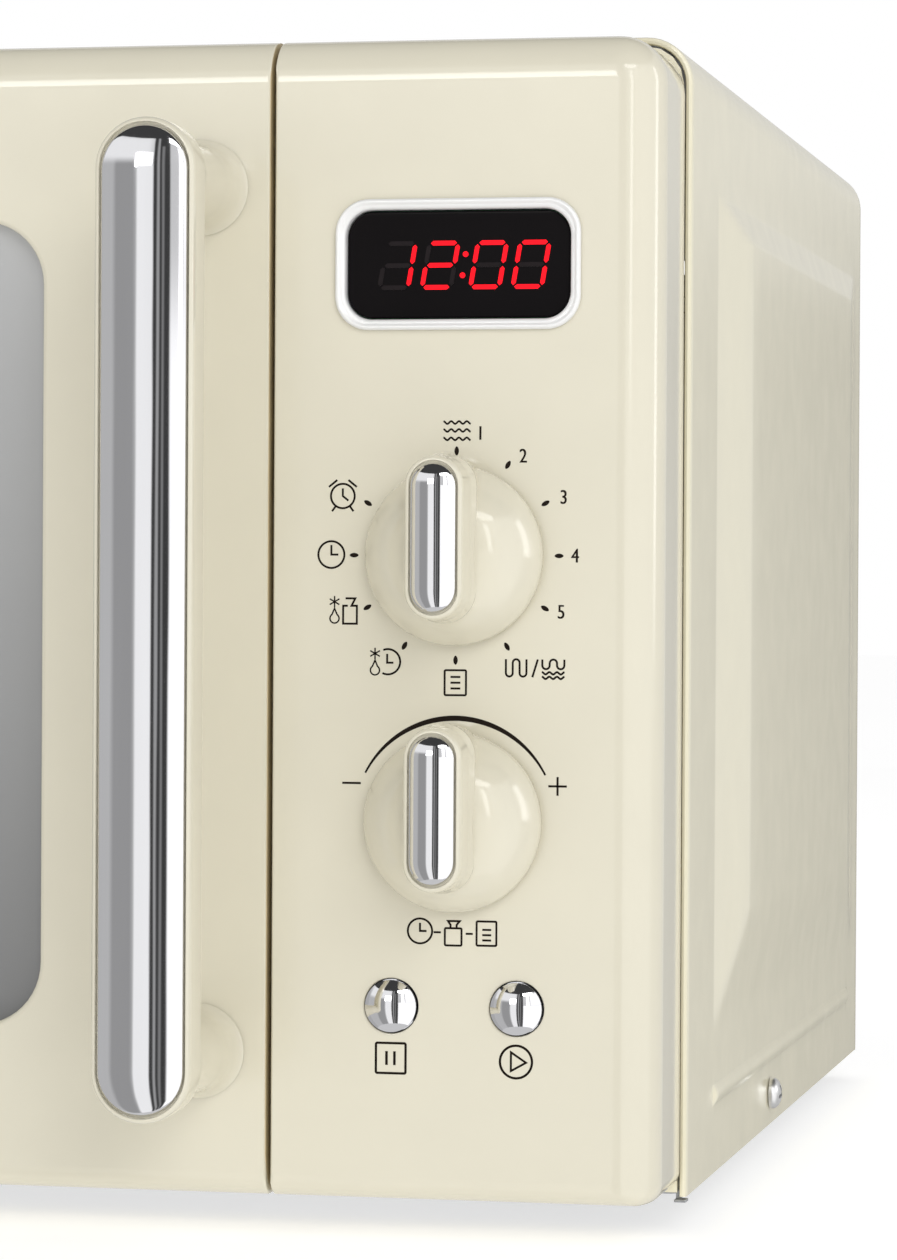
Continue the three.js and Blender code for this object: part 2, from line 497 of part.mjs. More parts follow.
function chokeCover() {
  const w = WINDOW;
  let body = plateXZ(roundedRect(-203.6, 129.5, 13, 249.8, 6), 28.9, 31.6)
    .subtract(plateXZ(roundedRect(w.x0, w.x1, w.z0, w.z1, 12), 25, 40));
  for (const z of HOOK.z) body = body.subtract(box(HOOK.x0 - 1.5, HOOK.x1 + 1.5, 20, 40, z - 1, z + 17));
  return body;
}

function doorHandle() {
  const h = HANDLE;
  const posts = [-1, 1].map((s) => rod('y', h.post, h.y1 - 2, -GAP, 20)
    .translate(h.x, 0, h.z + s * (h.length - h.width) / 2));
  return union([plateXZ(stadium(h.x, h.z, h.width, h.length), h.y0, h.y1, 2.2, 5), ...posts])
    .subtract(plateXZ(stadium(h.x, h.z, HANDLE_INLAY.width + 0.6, HANDLE_INLAY.length + 0.6), h.y0 - 1,
      HANDLE_INLAY.y1 + GAP, 0, 5));
}

function doorLatch() {
  const { x0, x1, z: levels, height, barb, tip } = HOOK;
  const hooks = levels.flatMap((z) => [
    box(x0, x1, 20, tip, z, z + height), box(x0, x1, tip - 5, tip, z, z + height + barb),
  ]);
  return union([box(119, 124, 14, 22, levels[0] - 2, levels[1] + height + 2), ...hooks]);
}

function latchSpring() {
  const turns = 6;
  const coil = Array.from({ length: turns * 8 + 1 }, (_, i) => {
    const a = (i / 8) * 2 * Math.PI;
    return new THREE.Vector3(121.5 + 3 * Math.cos(a), 18 + 3 * Math.sin(a), 34 + (i / (turns * 8)) * 22);
  });
  const wire = new THREE.Shape().absarc(0, 0, 0.5, 0, 2 * Math.PI);
  const extrudePath = new THREE.CatmullRomCurve3(coil);
  return solid(new THREE.ExtrudeGeometry(wire, { steps: turns * 8, extrudePath, curveSegments: 2 }));
}

function doorAssembly(group) {
  const w = WINDOW;
  part(group, 'door_frame', doorFrame(), CREAM);
  const pane = roundedRect(w.x0 - 6, w.x1 + 6, w.z0 - 6, w.z1 + 6, 12);
  part(group, 'door_window', plateXZ(pane, WALL.door + GAP, 6.5), WINDOW_GLASS);
  part(group, 'door_inner_panel', doorInnerPanel(), ENAMEL);
  part(group, 'choke_cover', chokeCover(), BLACK_PLASTIC);
  part(group, 'handle_body', doorHandle(), CREAM);
  const bar = stadium(HANDLE.x, HANDLE.z, HANDLE_INLAY.width, HANDLE_INLAY.length);
  part(group, 'handle_inlay', plateXZ(bar, HANDLE_INLAY.y0, HANDLE_INLAY.y1, 0.7, 5), CHROME);
  part(group, 'door_latch', doorLatch(), BLACK_PLASTIC);
  part(group, 'latch_spring', latchSpring(), SATIN);
}

// ---- whole oven ----
const microwave = new THREE.Group();
const assemblies = [caseAssembly, cavityAssembly, turntableAssembly, machineryAssembly, controlsAssembly, doorAssembly];
for (const build of assemblies) {
  const group = new THREE.Group();
  build(group);
  microwave.add(group);
}
microwave.position.y = FRONT_TO_ORIGIN;
microwave.updateMatrixWorld(true);

export default microwave;
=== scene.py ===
"""Looks of a freestanding cream microwave oven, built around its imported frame.

Every new surface is worked out with numpy on a grid of two parameters, or as an outline carried through
levels of depth. Lengths inside the classes are millimetres in the oven's own frame; Millimetres become
metres in one place, when a Shell is made into an object.
"""

import logging
import math
from collections.abc import Callable, Sequence
from dataclasses import dataclass, field
from enum import Enum

import bmesh
import bpy
import numpy as np
from mathutils import Matrix, Vector
from mathutils.geometry import tessellate_polygon


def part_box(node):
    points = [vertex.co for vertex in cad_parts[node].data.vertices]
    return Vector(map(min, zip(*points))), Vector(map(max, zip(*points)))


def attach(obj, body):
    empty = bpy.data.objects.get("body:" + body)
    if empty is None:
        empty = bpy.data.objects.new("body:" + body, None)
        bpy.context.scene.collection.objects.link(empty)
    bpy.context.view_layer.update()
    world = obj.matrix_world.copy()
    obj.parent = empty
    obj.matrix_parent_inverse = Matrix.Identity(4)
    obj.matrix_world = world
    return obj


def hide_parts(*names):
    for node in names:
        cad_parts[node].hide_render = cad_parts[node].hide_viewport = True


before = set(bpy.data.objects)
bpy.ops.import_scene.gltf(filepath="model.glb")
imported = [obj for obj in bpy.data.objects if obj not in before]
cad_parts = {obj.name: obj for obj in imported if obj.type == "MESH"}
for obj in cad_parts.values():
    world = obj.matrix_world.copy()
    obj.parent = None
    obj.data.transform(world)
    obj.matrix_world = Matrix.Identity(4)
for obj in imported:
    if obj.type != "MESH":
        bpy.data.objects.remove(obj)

LOG = logging.getLogger("oven")
MM = 0.001
FRONT_Y = -155.0


class Plane(Enum):
    """The plane an outline is drawn in; its depth runs along the axis left over."""

    FRONT = (0, 2, 1)
    PLAN = (0, 1, 2)
    SIDE = (1, 2, 0)


class Axis(Enum):
    """The axis that a turned piece goes round."""

    X = (1, 2, 0)
    Y = (2, 0, 1)
    Z = (0, 1, 2)


def place(flat: np.ndarray, depth: np.ndarray | float, plane: Plane) -> np.ndarray:
    """Stands flat points up in space.

    Args:
        flat: points (..., 2) in the outline's plane.
        depth: distance along the axis left over, one number or one per point.
        plane: which plane the outline is drawn in.

    Returns:
        The points (..., 3).
    """
    first, second, third = plane.value
    points = np.empty((*flat.shape[:-1], 3))
    points[..., first], points[..., second], points[..., third] = flat[..., 0], flat[..., 1], depth
    return points


def rounded(x0: float, x1: float, z0: float, z1: float, radii: float | Sequence[float],
            steps: int = 10) -> np.ndarray:
    """Rounded rectangle: a quarter circle at each corner, joined by straight sides.

    Args:
        x0, x1, z0, z1: its edges.
        radii: one corner radius, or four from the lower right corner round against the clock.
        steps: spans in each quarter circle.

    Returns:
        The outline's points (4 * (steps + 1), 2), against the clock.
    """
    corner = np.broadcast_to(np.maximum(radii, 0.02), 4)
    middle = np.array([(x1, z0), (x1, z1), (x0, z1), (x0, z0)]) + corner[:, None] * [(-1, 1), (-1, -1),
                                                                                     (1, -1), (1, 1)]
    angle = np.linspace(-90, 0, steps + 1)[None, :] + 90 * np.arange(4)[:, None]
    turn = np.stack([np.cos(np.radians(angle)), np.sin(np.radians(angle))], -1)
    return (middle[:, None] + corner[:, None, None] * turn).reshape(-1, 2)


def pill(x: float, z: float, width: float, length: float, steps: int = 24) -> np.ndarray:
    """Upright stadium: two half circles joined by straight sides, against the clock.

    Args:
        x, z: its middle.
        width, length: its overall size.
        steps: spans in each half circle.

    Returns:
        The outline's points (2 * (steps + 1), 2).
    """
    angle = np.radians(np.concatenate([np.linspace(180, 360, steps + 1), np.linspace(0, 180, steps + 1)]))
    reach = np.repeat([-1.0, 1.0], steps + 1) * (length - width) / 2
    return np.stack([x + width / 2 * np.cos(angle), z + reach + width / 2 * np.sin(angle)], -1)


def ring(x: float, z: float, radius: float, steps: int = 48) -> np.ndarray:
    """Circle as points (steps, 2), against the clock."""
    angle = np.linspace(0, 2 * np.pi, steps, endpoint=False)
    return np.stack([x + radius * np.cos(angle), z + radius * np.sin(angle)], -1)


def fillet(radius: float, steps: int, depth: float = 0.0) -> list[tuple[float, float]]:
    """Levels (depth, inset) of a quarter round edge, from the flat face out to the full outline.

    Args:
        radius: the edge's radius.
        steps: spans in the quarter circle.
        depth: the flat face's depth.

    Returns:
        Pairs: depth = radius * (1 - sin a), inset = radius * (1 - cos a), a from 90 to 0 degrees.
    """
    angle = np.radians(np.linspace(90, 0, steps + 1))
    return list(zip(depth + radius * (1 - np.sin(angle)), radius * (1 - np.cos(angle)), strict=True))


Outline = Callable[..., np.ndarray]
Levels = Sequence[tuple[float, ...]]


@dataclass
class Shell:
    """Points and faces gathered from several surfaces, made into one object at the end."""

    points: list[np.ndarray] = field(default_factory=list)
    faces: list[list[int]] = field(default_factory=list)
    count: int = 0

    def add(self, points: np.ndarray) -> np.ndarray:
        """Adds points (..., 3) and returns their numbers in the same arrangement."""
        self.points.append(points.reshape(-1, 3))
        numbers = np.arange(self.count, self.count + points.size // 3).reshape(points.shape[:-1])
        self.count += points.size // 3
        return numbers

    def quads(self, rows: np.ndarray, round_u: bool = False, round_v: bool = True) -> None:
        """Joins neighbours in a grid of point numbers, closing it along either way on request."""
        if round_u:
            rows = np.vstack([rows, rows[:1]])
        if round_v:
            rows = np.hstack([rows, rows[:, :1]])
        a, b, c, d = rows[:-1, :-1], rows[:-1, 1:], rows[1:, 1:], rows[1:, :-1]
        self.faces += np.stack([a, b, c, d], -1).reshape(-1, 4).tolist()

    def cap(self, *loops: np.ndarray) -> None:
        """Fills a flat face: the first loop is its rim and the others are holes in it."""
        everything = np.concatenate(self.points)
        rims = [[Vector(p) for p in everything[loop]] for loop in loops]
        numbers = np.concatenate(loops)
        self.faces += [[int(numbers[i]) for i in face] for face in tessellate_polygon(rims)]

    def stack(self, outline: Outline, levels: Levels, plane: Plane = Plane.FRONT) -> np.ndarray:
        """Carries an outline through levels of (depth, inset).

        Args:
            outline: gives the points for an inset, always as many.
            levels: depth of each level, then the inset and anything else the outline takes.
            plane: the outline's plane.

        Returns:
            The numbers of the points, one row for each level.
        """
        rows = self.add(np.stack([place(outline(*rest), depth, plane) for depth, *rest in levels]))
        self.quads(rows)
        return rows

    def slab(self, outline: Outline, levels: Levels, holes: Sequence[tuple[Outline, Levels]] = (),
             plane: Plane = Plane.FRONT) -> None:
        """Closed plate: an outline through its levels, capped at both ends, with holes right through."""
        rows = self.stack(outline, levels, plane)
        inner = [self.stack(hole, steps, plane) for hole, steps in holes]
        self.cap(rows[0], *[r[0] for r in inner])
        self.cap(rows[-1], *[r[-1] for r in inner])

    def turned(self, profile: Sequence[tuple[float, float]], axis: Axis, centre: Sequence[float] = (0, 0, 0),
               steps: int = 48) -> None:
        """Turns a profile of (radius, height) once round an axis; a radius of nought closes on a pole."""
        radius, height = np.array(profile, float).T
        angle = np.linspace(0, 2 * np.pi, steps, endpoint=False)
        first, second, third = axis.value
        body = slice(int(radius[0] == 0), len(radius) - int(radius[-1] == 0))
        grid = np.empty((len(radius[body]), steps, 3))
        grid[..., first] = radius[body, None] * np.cos(angle)
        grid[..., second] = radius[body, None] * np.sin(angle)
        grid[..., third] = height[body, None]
        rows = self.add(grid + np.array(centre))
        closed = radius[0] > 0 and radius[-1] > 0 and np.allclose(profile[0], profile[-1])
        if closed:
            rows = np.vstack([rows[:-1], rows[:1]])
        self.quads(rows)
        for end, row in ((0, rows[0]), (-1, rows[-1])):
            if radius[end] == 0:
                pole = np.zeros(3)
                pole[third] = height[end]
                tip = int(self.add((pole + np.array(centre))[None])[0])
                self.faces += [[tip, int(a), int(b)] for a, b in zip(row, np.roll(row, -1), strict=True)]

    def swept(self, path: np.ndarray, section: np.ndarray, up: Sequence[float] = (0, 0, 1)) -> None:
        """Carries a flat section (n, 2) along an open path (k, 3); its second axis stays close to up."""
        ahead = np.roll(path, -1, 0) - np.roll(path, 1, 0)
        ahead[0], ahead[-1] = path[1] - path[0], path[-1] - path[-2]
        ahead /= np.linalg.norm(ahead, axis=1)[:, None]
        across = np.cross(ahead, np.array(up, float))
        across /= np.linalg.norm(across, axis=1)[:, None]
        above = np.cross(across, ahead)
        rows = self.add(path[:, None] + section[None, :, :1] * across[:, None] + section[None, :,
                                                                                         1:] * above[:, None])
        self.quads(rows)
        self.cap(rows[0])
        self.cap(rows[-1])

    def block(self, low: Sequence[float], high: Sequence[float], radius: float = 0.6) -> None:
        """Box between two corners with every edge rounded by a small bevel."""
        levels = [(low[2], radius), (low[2] + radius * 0.3, radius * 0.3), (low[2] + radius, 0),
                  (high[2] - radius, 0), (high[2] - radius * 0.3, radius * 0.3), (high[2], radius)]
        self.slab(lambda i: rounded(low[0] + i, high[0] - i, low[1] + i, high[1] - i,
                                    radius * 1.2 - i * 0.7, 3),
                  levels, plane=Plane.PLAN)

    def turn(self, start: int, matrix: Matrix) -> None:
        """Moves every point added since the given number of surfaces by a matrix."""
        move = np.array(matrix.to_4x4())
        for k in range(start, len(self.points)):
            self.points[k] = self.points[k] @ move[:3, :3].T + move[:3, 3]

    def object(self, name: str, lift: float = FRONT_Y) -> bpy.types.Object:
        """Makes the mesh in metres, with the front plane moved to its place in the frame."""
        points = np.concatenate(self.points) + np.array([0, lift, 0])
        mesh = bpy.data.meshes.new(name)
        mesh.from_pydata((points * MM).tolist(), [], self.faces)
        made = bpy.data.objects.new(name, mesh)
        bpy.context.scene.collection.objects.link(made)
        work = bmesh.new()
        work.from_mesh(mesh)
        bmesh.ops.remove_doubles(work, verts=work.verts, dist=2e-6)
        bmesh.ops.dissolve_degenerate(work, edges=work.edges, dist=1e-6)
        bmesh.ops.recalc_face_normals(work, faces=work.faces)
        work.to_mesh(mesh)
        work.free()
        return made


def smooth(made: bpy.types.Object, angle: float = 35.0, bevel: float = 0.0,
           spans: int = 2) -> bpy.types.Object:
    """Shades a piece smooth up to an angle, after an optional small bevel on its sharp edges.

    Args:
        made: the piece.
        angle: edges sharper than this, in degrees, stay crisp.
        bevel: width of the bevel in millimetres.
        spans: segments in the bevel.

    Returns:
        The same piece.
    """
    if bevel:
        edge = made.modifiers.new("edges", "BEVEL")
        edge.width, edge.segments, edge.limit_method = bevel * MM, spans, "ANGLE"
        edge.angle_limit = math.radians(angle)
        edge.harden_normals = False
    made.data.polygons.foreach_set("use_smooth", np.ones(len(made.data.polygons), bool))
    if not bevel:
        made.data.set_sharp_from_angle(angle=math.radians(angle))
    normals = made.modifiers.new("normals", "WEIGHTED_NORMAL")
    normals.keep_sharp, normals.weight = True, 60
    return made


def settle(made: bpy.types.Object) -> bpy.types.Object:
    """Replaces a piece's mesh by what its modifiers make of it, and drops the modifiers."""
    graph = bpy.context.evaluated_depsgraph_get()
    mesh = bpy.data.meshes.new_from_object(made.evaluated_get(graph))
    made.modifiers.clear()
    made.data = mesh
    return made


def carve(made: bpy.types.Object, *cutters: bpy.types.Object) -> bpy.types.Object:
    """Cuts each closed cutter out of a closed piece and removes the cutters."""
    for cutter in cutters:
        cut = made.modifiers.new("cut", "BOOLEAN")
        cut.operation, cut.solver, cut.object = "DIFFERENCE", "EXACT", cutter
        settle(made)
        bpy.data.objects.remove(cutter)
    return made


# ---- finishes ----
class Pattern(Enum):
    """How a finish wanders over its surface."""

    MOTTLE = "mottle"
    BRUSHED = "brushed"
    SPANGLE = "spangle"
    SPECKLE = "speckle"
    WINDING = "winding"
    PERFORATED = "perforated"
    DRAWN = "drawn"


@dataclass(frozen=True)
class Finish:
    """A procedural finish on object coordinates.

    Args:
        name: the material's name.
        colour: base colour, linear.
        roughness: middle roughness.
        pattern: how colour, gloss and relief wander.
        metallic: 1 for bare metal.
        coat: weight of a clear coat.
        shade: how far the colour wanders, as a share.
        gloss: how far the roughness wanders.
        relief: height of the surface texture in millimetres.
        grain: size of the pattern, features per metre.
        alpha: 1 for opaque.
        glow: strength of light given off.
        mirror: strength of the plain surface reflection, 0.5 for an ordinary one.
        foot_shade: painted shade: how much darker it is at the foot than at the top, as a share, over the
            height of the oven.
    """

    name: str
    colour: tuple[float, float, float]
    roughness: float
    pattern: Pattern = Pattern.MOTTLE
    metallic: float = 0.0
    coat: float = 0.0
    shade: float = 0.03
    gloss: float = 0.03
    relief: float = 0.0
    grain: float = 60.0
    alpha: float = 1.0
    glow: float = 0.0
    mirror: float = 0.5
    foot_shade: float = 0.0

    def material(self) -> bpy.types.Material:
        """Makes the material once and returns it."""
        if self.name in bpy.data.materials:
            return bpy.data.materials[self.name]
        made = bpy.data.materials.new(self.name)
        made.use_nodes = True
        made.diffuse_color = (*self.colour, self.alpha)
        shader = made.node_tree.nodes["Principled BSDF"]
        shader.inputs["Metallic"].default_value = self.metallic
        shader.inputs["Coat Weight"].default_value = self.coat
        shader.inputs["Coat Roughness"].default_value = 0.06
        shader.inputs["Alpha"].default_value = self.alpha
        shader.inputs["Specular IOR Level"].default_value = self.mirror
        value = self._pattern(made.node_tree)
        self._colour(made.node_tree, value, shader)
        self._roughness(made.node_tree, value, shader)
        if self.relief:
            self._relief(made.node_tree, value, shader)
        return made

    def _link(self, tree: bpy.types.NodeTree, start: bpy.types.NodeSocket, end: bpy.types.NodeSocket) -> None:
        """Joins two sockets."""
        tree.links.new(start, end)

    def _noise(self, tree: bpy.types.NodeTree, scale: Sequence[float],
               detail: float = 3.0) -> bpy.types.NodeSocket:
        """Noise on object coordinates, stretched by a scale along each axis; gives a value from 0 to 1."""
        coordinates = tree.nodes.new("ShaderNodeTexCoord")
        mapping = tree.nodes.new("ShaderNodeMapping")
        mapping.inputs["Scale"].default_value = scale
        noise = tree.nodes.new("ShaderNodeTexNoise")
        noise.inputs["Scale"].default_value = 1.0
        noise.inputs["Detail"].default_value = detail
        self._link(tree, coordinates.outputs["Object"], mapping.inputs["Vector"])
        self._link(tree, mapping.outputs["Vector"], noise.inputs["Vector"])
        return noise.outputs["Fac"]

    def _cells(self, tree: bpy.types.NodeTree, feature: str, output: str) -> bpy.types.NodeSocket:
        """Voronoi cells on object coordinates; gives their colour or distance."""
        coordinates = tree.nodes.new("ShaderNodeTexCoord")
        cells = tree.nodes.new("ShaderNodeTexVoronoi")
        cells.feature = feature
        cells.inputs["Scale"].default_value = self.grain
        self._link(tree, coordinates.outputs["Object"], cells.inputs["Vector"])
        return cells.outputs[output]

    def _pattern(self, tree: bpy.types.NodeTree) -> bpy.types.NodeSocket:
        """The value from 0 to 1 that the finish wanders by."""
        if self.pattern is Pattern.BRUSHED:
            return self._noise(tree, (self.grain * 2, self.grain * 2, self.grain * 60), 4.0)
        if self.pattern is Pattern.DRAWN:
            return self._noise(tree, (self.grain, self.grain, self.grain / 24), 2.0)
        if self.pattern is Pattern.WINDING:
            return self._noise(tree, (self.grain, self.grain, self.grain * 40), 1.0)
        if self.pattern is Pattern.SPANGLE:
            return self._cells(tree, "F1", "Color")
        if self.pattern is Pattern.SPECKLE:
            step = tree.nodes.new("ShaderNodeMapRange")
            step.inputs["From Min"].default_value, step.inputs["From Max"].default_value = 0.12, 0.22
            self._link(tree, self._cells(tree, "F1", "Distance"), step.inputs["Value"])
            return step.outputs["Result"]
        if self.pattern is Pattern.PERFORATED:
            return self._holes(tree)
        return self._noise(tree, (self.grain,) * 3)

    def _math(self, tree: bpy.types.NodeTree, operation: str,
              *values: bpy.types.NodeSocket | float) -> bpy.types.NodeSocket:
        """Result of one arithmetic step on sockets and constants."""
        step = tree.nodes.new("ShaderNodeMath")
        step.operation = operation
        for slot, value in zip(step.inputs, values, strict=False):
            if isinstance(value, (int, float)):
                slot.default_value = value
            else:
                self._link(tree, value, slot)
        return step.outputs["Value"]

    def _holes(self, tree: bpy.types.NodeTree) -> bpy.types.NodeSocket:
        """Staggered rows of round holes in x and z: 0 inside a hole, 1 on the sheet."""
        coordinates = tree.nodes.new("ShaderNodeTexCoord")
        parts = tree.nodes.new("ShaderNodeSeparateXYZ")
        self._link(tree, coordinates.outputs["Object"], parts.inputs["Vector"])
        rows = self._math(tree, "MULTIPLY", parts.outputs["Z"], self.grain * 1.1547)
        shift = self._math(tree, "MULTIPLY", self._math(tree, "FLOOR", rows), 0.5)
        across = self._math(tree, "ADD", self._math(tree, "MULTIPLY", parts.outputs["X"], self.grain), shift)
        offsets = [self._math(tree, "SUBTRACT", self._math(tree, "FRACT", v), 0.5) for v in (across, rows)]
        offsets[1] = self._math(tree, "MULTIPLY", offsets[1], 0.866)
        squares = [self._math(tree, "MULTIPLY", v, v) for v in offsets]
        return self._math(tree, "GREATER_THAN", self._math(tree, "ADD", *squares), 0.09)

    def _colour(self, tree: bpy.types.NodeTree, value: bpy.types.NodeSocket, shader: bpy.types.Node) -> None:
        """Base colour: from a little darker to a little lighter than the middle, by the pattern's value."""
        ramp = tree.nodes.new("ShaderNodeValToRGB")
        low, high = ramp.color_ramp.elements
        low.position, high.position = 0.25, 0.75
        low.color = (*[c * (1 - self.shade) for c in self.colour], 1)
        high.color = (*[min(c * (1 + self.shade), 1) for c in self.colour], 1)
        self._link(tree, value, ramp.inputs["Fac"])
        # Painted shade: the colour darkens toward the foot when the finish asks for it.
        tint = self._painted_foot_shade(tree, ramp.outputs["Color"]) if self.foot_shade else ramp.outputs["Color"]
        self._link(tree, tint, shader.inputs["Base Color"])
        if self.glow:
            self._link(tree, tint, shader.inputs["Emission Color"])
            shader.inputs["Emission Strength"].default_value = self.glow

    def _painted_foot_shade(self, tree: bpy.types.NodeTree, tint: bpy.types.NodeSocket) -> bpy.types.NodeSocket:
        """The colour, darker toward the foot of the oven: painted shade."""
        coordinates, parts = tree.nodes.new("ShaderNodeTexCoord"), tree.nodes.new("ShaderNodeSeparateXYZ")
        self._link(tree, coordinates.outputs["Object"], parts.inputs["Vector"])
        share, scale = tree.nodes.new("ShaderNodeMapRange"), tree.nodes.new("ShaderNodeVectorMath")
        share.inputs["From Max"].default_value = 0.256
        share.inputs["To Min"].default_value = 1 - self.foot_shade
        scale.operation = "SCALE"
        self._link(tree, parts.outputs["Z"], share.inputs["Value"])
        self._link(tree, tint, scale.inputs[0])
        self._link(tree, share.outputs["Result"], scale.inputs["Scale"])
        return scale.outputs["Vector"]

    def _roughness(self, tree: bpy.types.NodeTree, value: bpy.types.NodeSocket,
                   shader: bpy.types.Node) -> None:
        """Roughness: middle value plus or minus the gloss share, by the pattern's value."""
        spread = tree.nodes.new("ShaderNodeMapRange")
        spread.inputs["To Min"].default_value = max(self.roughness - self.gloss, 0.02)
        spread.inputs["To Max"].default_value = self.roughness + self.gloss
        self._link(tree, value, spread.inputs["Value"])
        self._link(tree, spread.outputs["Result"], shader.inputs["Roughness"])

    def _relief(self, tree: bpy.types.NodeTree, value: bpy.types.NodeSocket, shader: bpy.types.Node) -> None:
        """Surface texture: the pattern itself, or fine grain for a mottled finish, as a bump."""
        if self.pattern is Pattern.MOTTLE:
            value = self._noise(tree, (self.grain * 16,) * 3, 2.0)
        bump = tree.nodes.new("ShaderNodeBump")
        bump.inputs["Strength"].default_value = 0.6
        bump.inputs["Distance"].default_value = self.relief * MM
        self._link(tree, value, bump.inputs["Height"])
        self._link(tree, bump.outputs["Normal"], shader.inputs["Normal"])


CREAM = Finish("cream_moulding", (0.765, 0.725, 0.59), 0.12, coat=0.3, shade=0.012, gloss=0.02, relief=0.001)
POWDER = Finish("cream_powder_coat", (0.87, 0.82, 0.63), 0.14, shade=0.012, gloss=0.03, relief=0.002,
                grain=90)
CHROME = Finish("bright_chrome", (0.86, 0.86, 0.88), 0.05, Pattern.DRAWN, 1.0, shade=0.02, gloss=0.02,
                relief=0.035, grain=260)
SATIN = Finish("satin_plate", (0.80, 0.80, 0.80), 0.36, Pattern.BRUSHED, 1.0, shade=0.03, gloss=0.06,
               grain=20)
BEZEL = Finish("satin_silver_frame", (0.90, 0.90, 0.895), 0.42, metallic=0.15, shade=0.01, relief=0.004)
ZINC = Finish("zinc_sheet", (0.50, 0.51, 0.52), 0.4, Pattern.SPANGLE, 0.9, shade=0.06, gloss=0.06, grain=210)
ENAMEL = Finish("grey_enamel", (0.44, 0.45, 0.44), 0.32, Pattern.SPECKLE, coat=0.3, shade=0.16, gloss=0.04,
                grain=500)
BLACK = Finish("black_plastic", (0.018, 0.018, 0.019), 0.45, shade=0.2, gloss=0.08, relief=0.02, grain=120)
NATURAL = Finish("natural_plastic", (0.74, 0.72, 0.66), 0.45, shade=0.03, gloss=0.06, relief=0.01)
RUBBER = Finish("foot_rubber", (0.022, 0.022, 0.022), 0.75, shade=0.25, gloss=0.1, relief=0.03, grain=160)
LENS = Finish("black_window", (0.005, 0.004, 0.0045), 0.07, shade=0.2, gloss=0.02, grain=25, mirror=0.06)
# Pane: its pale grey is partly the glass's own tint and partly painted reflection of the bright surroundings;
# it darkens toward the foot as painted shade.
PANE_TINT_AND_REFLECTION = Finish("pane_tint_and_painted_reflection", (0.68, 0.685, 0.69), 0.06, shade=0.03, gloss=0.02, grain=8, alpha=0.82, coat=0.4,
              foot_shade=0.8)
CLEAR = Finish("clear_glass", (0.80, 0.88, 0.86), 0.05, shade=0.02, gloss=0.02, grain=20, alpha=0.34)
INK = Finish("brown_print", (0.012, 0.007, 0.004), 0.5, shade=0.15, gloss=0.05, grain=400, mirror=0.1)
DIGIT = Finish("lit_segment", (1.0, 0.010, 0.018), 0.5, shade=0.08, grain=700, glow=0.75, mirror=0.0)
GHOST = Finish("unlit_segment", (0.010, 0.0065, 0.0075), 0.3, shade=0.2, grain=300, mirror=0.1)
BOARD = Finish("solder_mask", (0.02, 0.13, 0.05), 0.35, shade=0.2, gloss=0.05, relief=0.01, grain=300)
COPPER = Finish("varnished_copper", (0.42, 0.16, 0.06), 0.38, Pattern.WINDING, 0.6, shade=0.25, gloss=0.1,
                relief=0.1, grain=30)
MICA = Finish("mica_sheet", (0.40, 0.31, 0.17), 0.5, Pattern.SPECKLE, shade=0.25, gloss=0.1, relief=0.02,
              grain=350)
SCREEN = Finish("perforated_steel", (0.46, 0.47, 0.46), 0.35, Pattern.PERFORATED, shade=0.1, gloss=0.05,
                grain=360)
FLOOR = Finish("floor", (0.60, 0.60, 0.60), 0.8, shade=0.004, gloss=0.02, grain=2, glow=0.97)
# Tan on the door's side in the joint beside the column is painted shade of the narrow joint between cream
# mouldings.
JOINT_SHADE = Finish("painted_joint_shade", (0.55, 0.45, 0.27), 0.4, shade=0.1, gloss=0.05)


def fit(made: bpy.types.Object, finish: Finish, body: str,
        nodes: Sequence[str] = ()) -> bpy.types.Object:
    """Dresses a finished piece and hangs it on its CAD body.

    Args:
        made: the piece.
        finish: its finish.
        body: the CAD body it moves with.
        nodes: the CAD nodes it stands for.

    Returns:
        The same piece.
    """
    made.data.materials.clear()
    made.data.materials.append(finish.material())
    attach(made, body)
    if nodes:
        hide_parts(*nodes)
    LOG.info("%s: %d faces on %s", made.name, len(made.data.polygons), body)
    return made


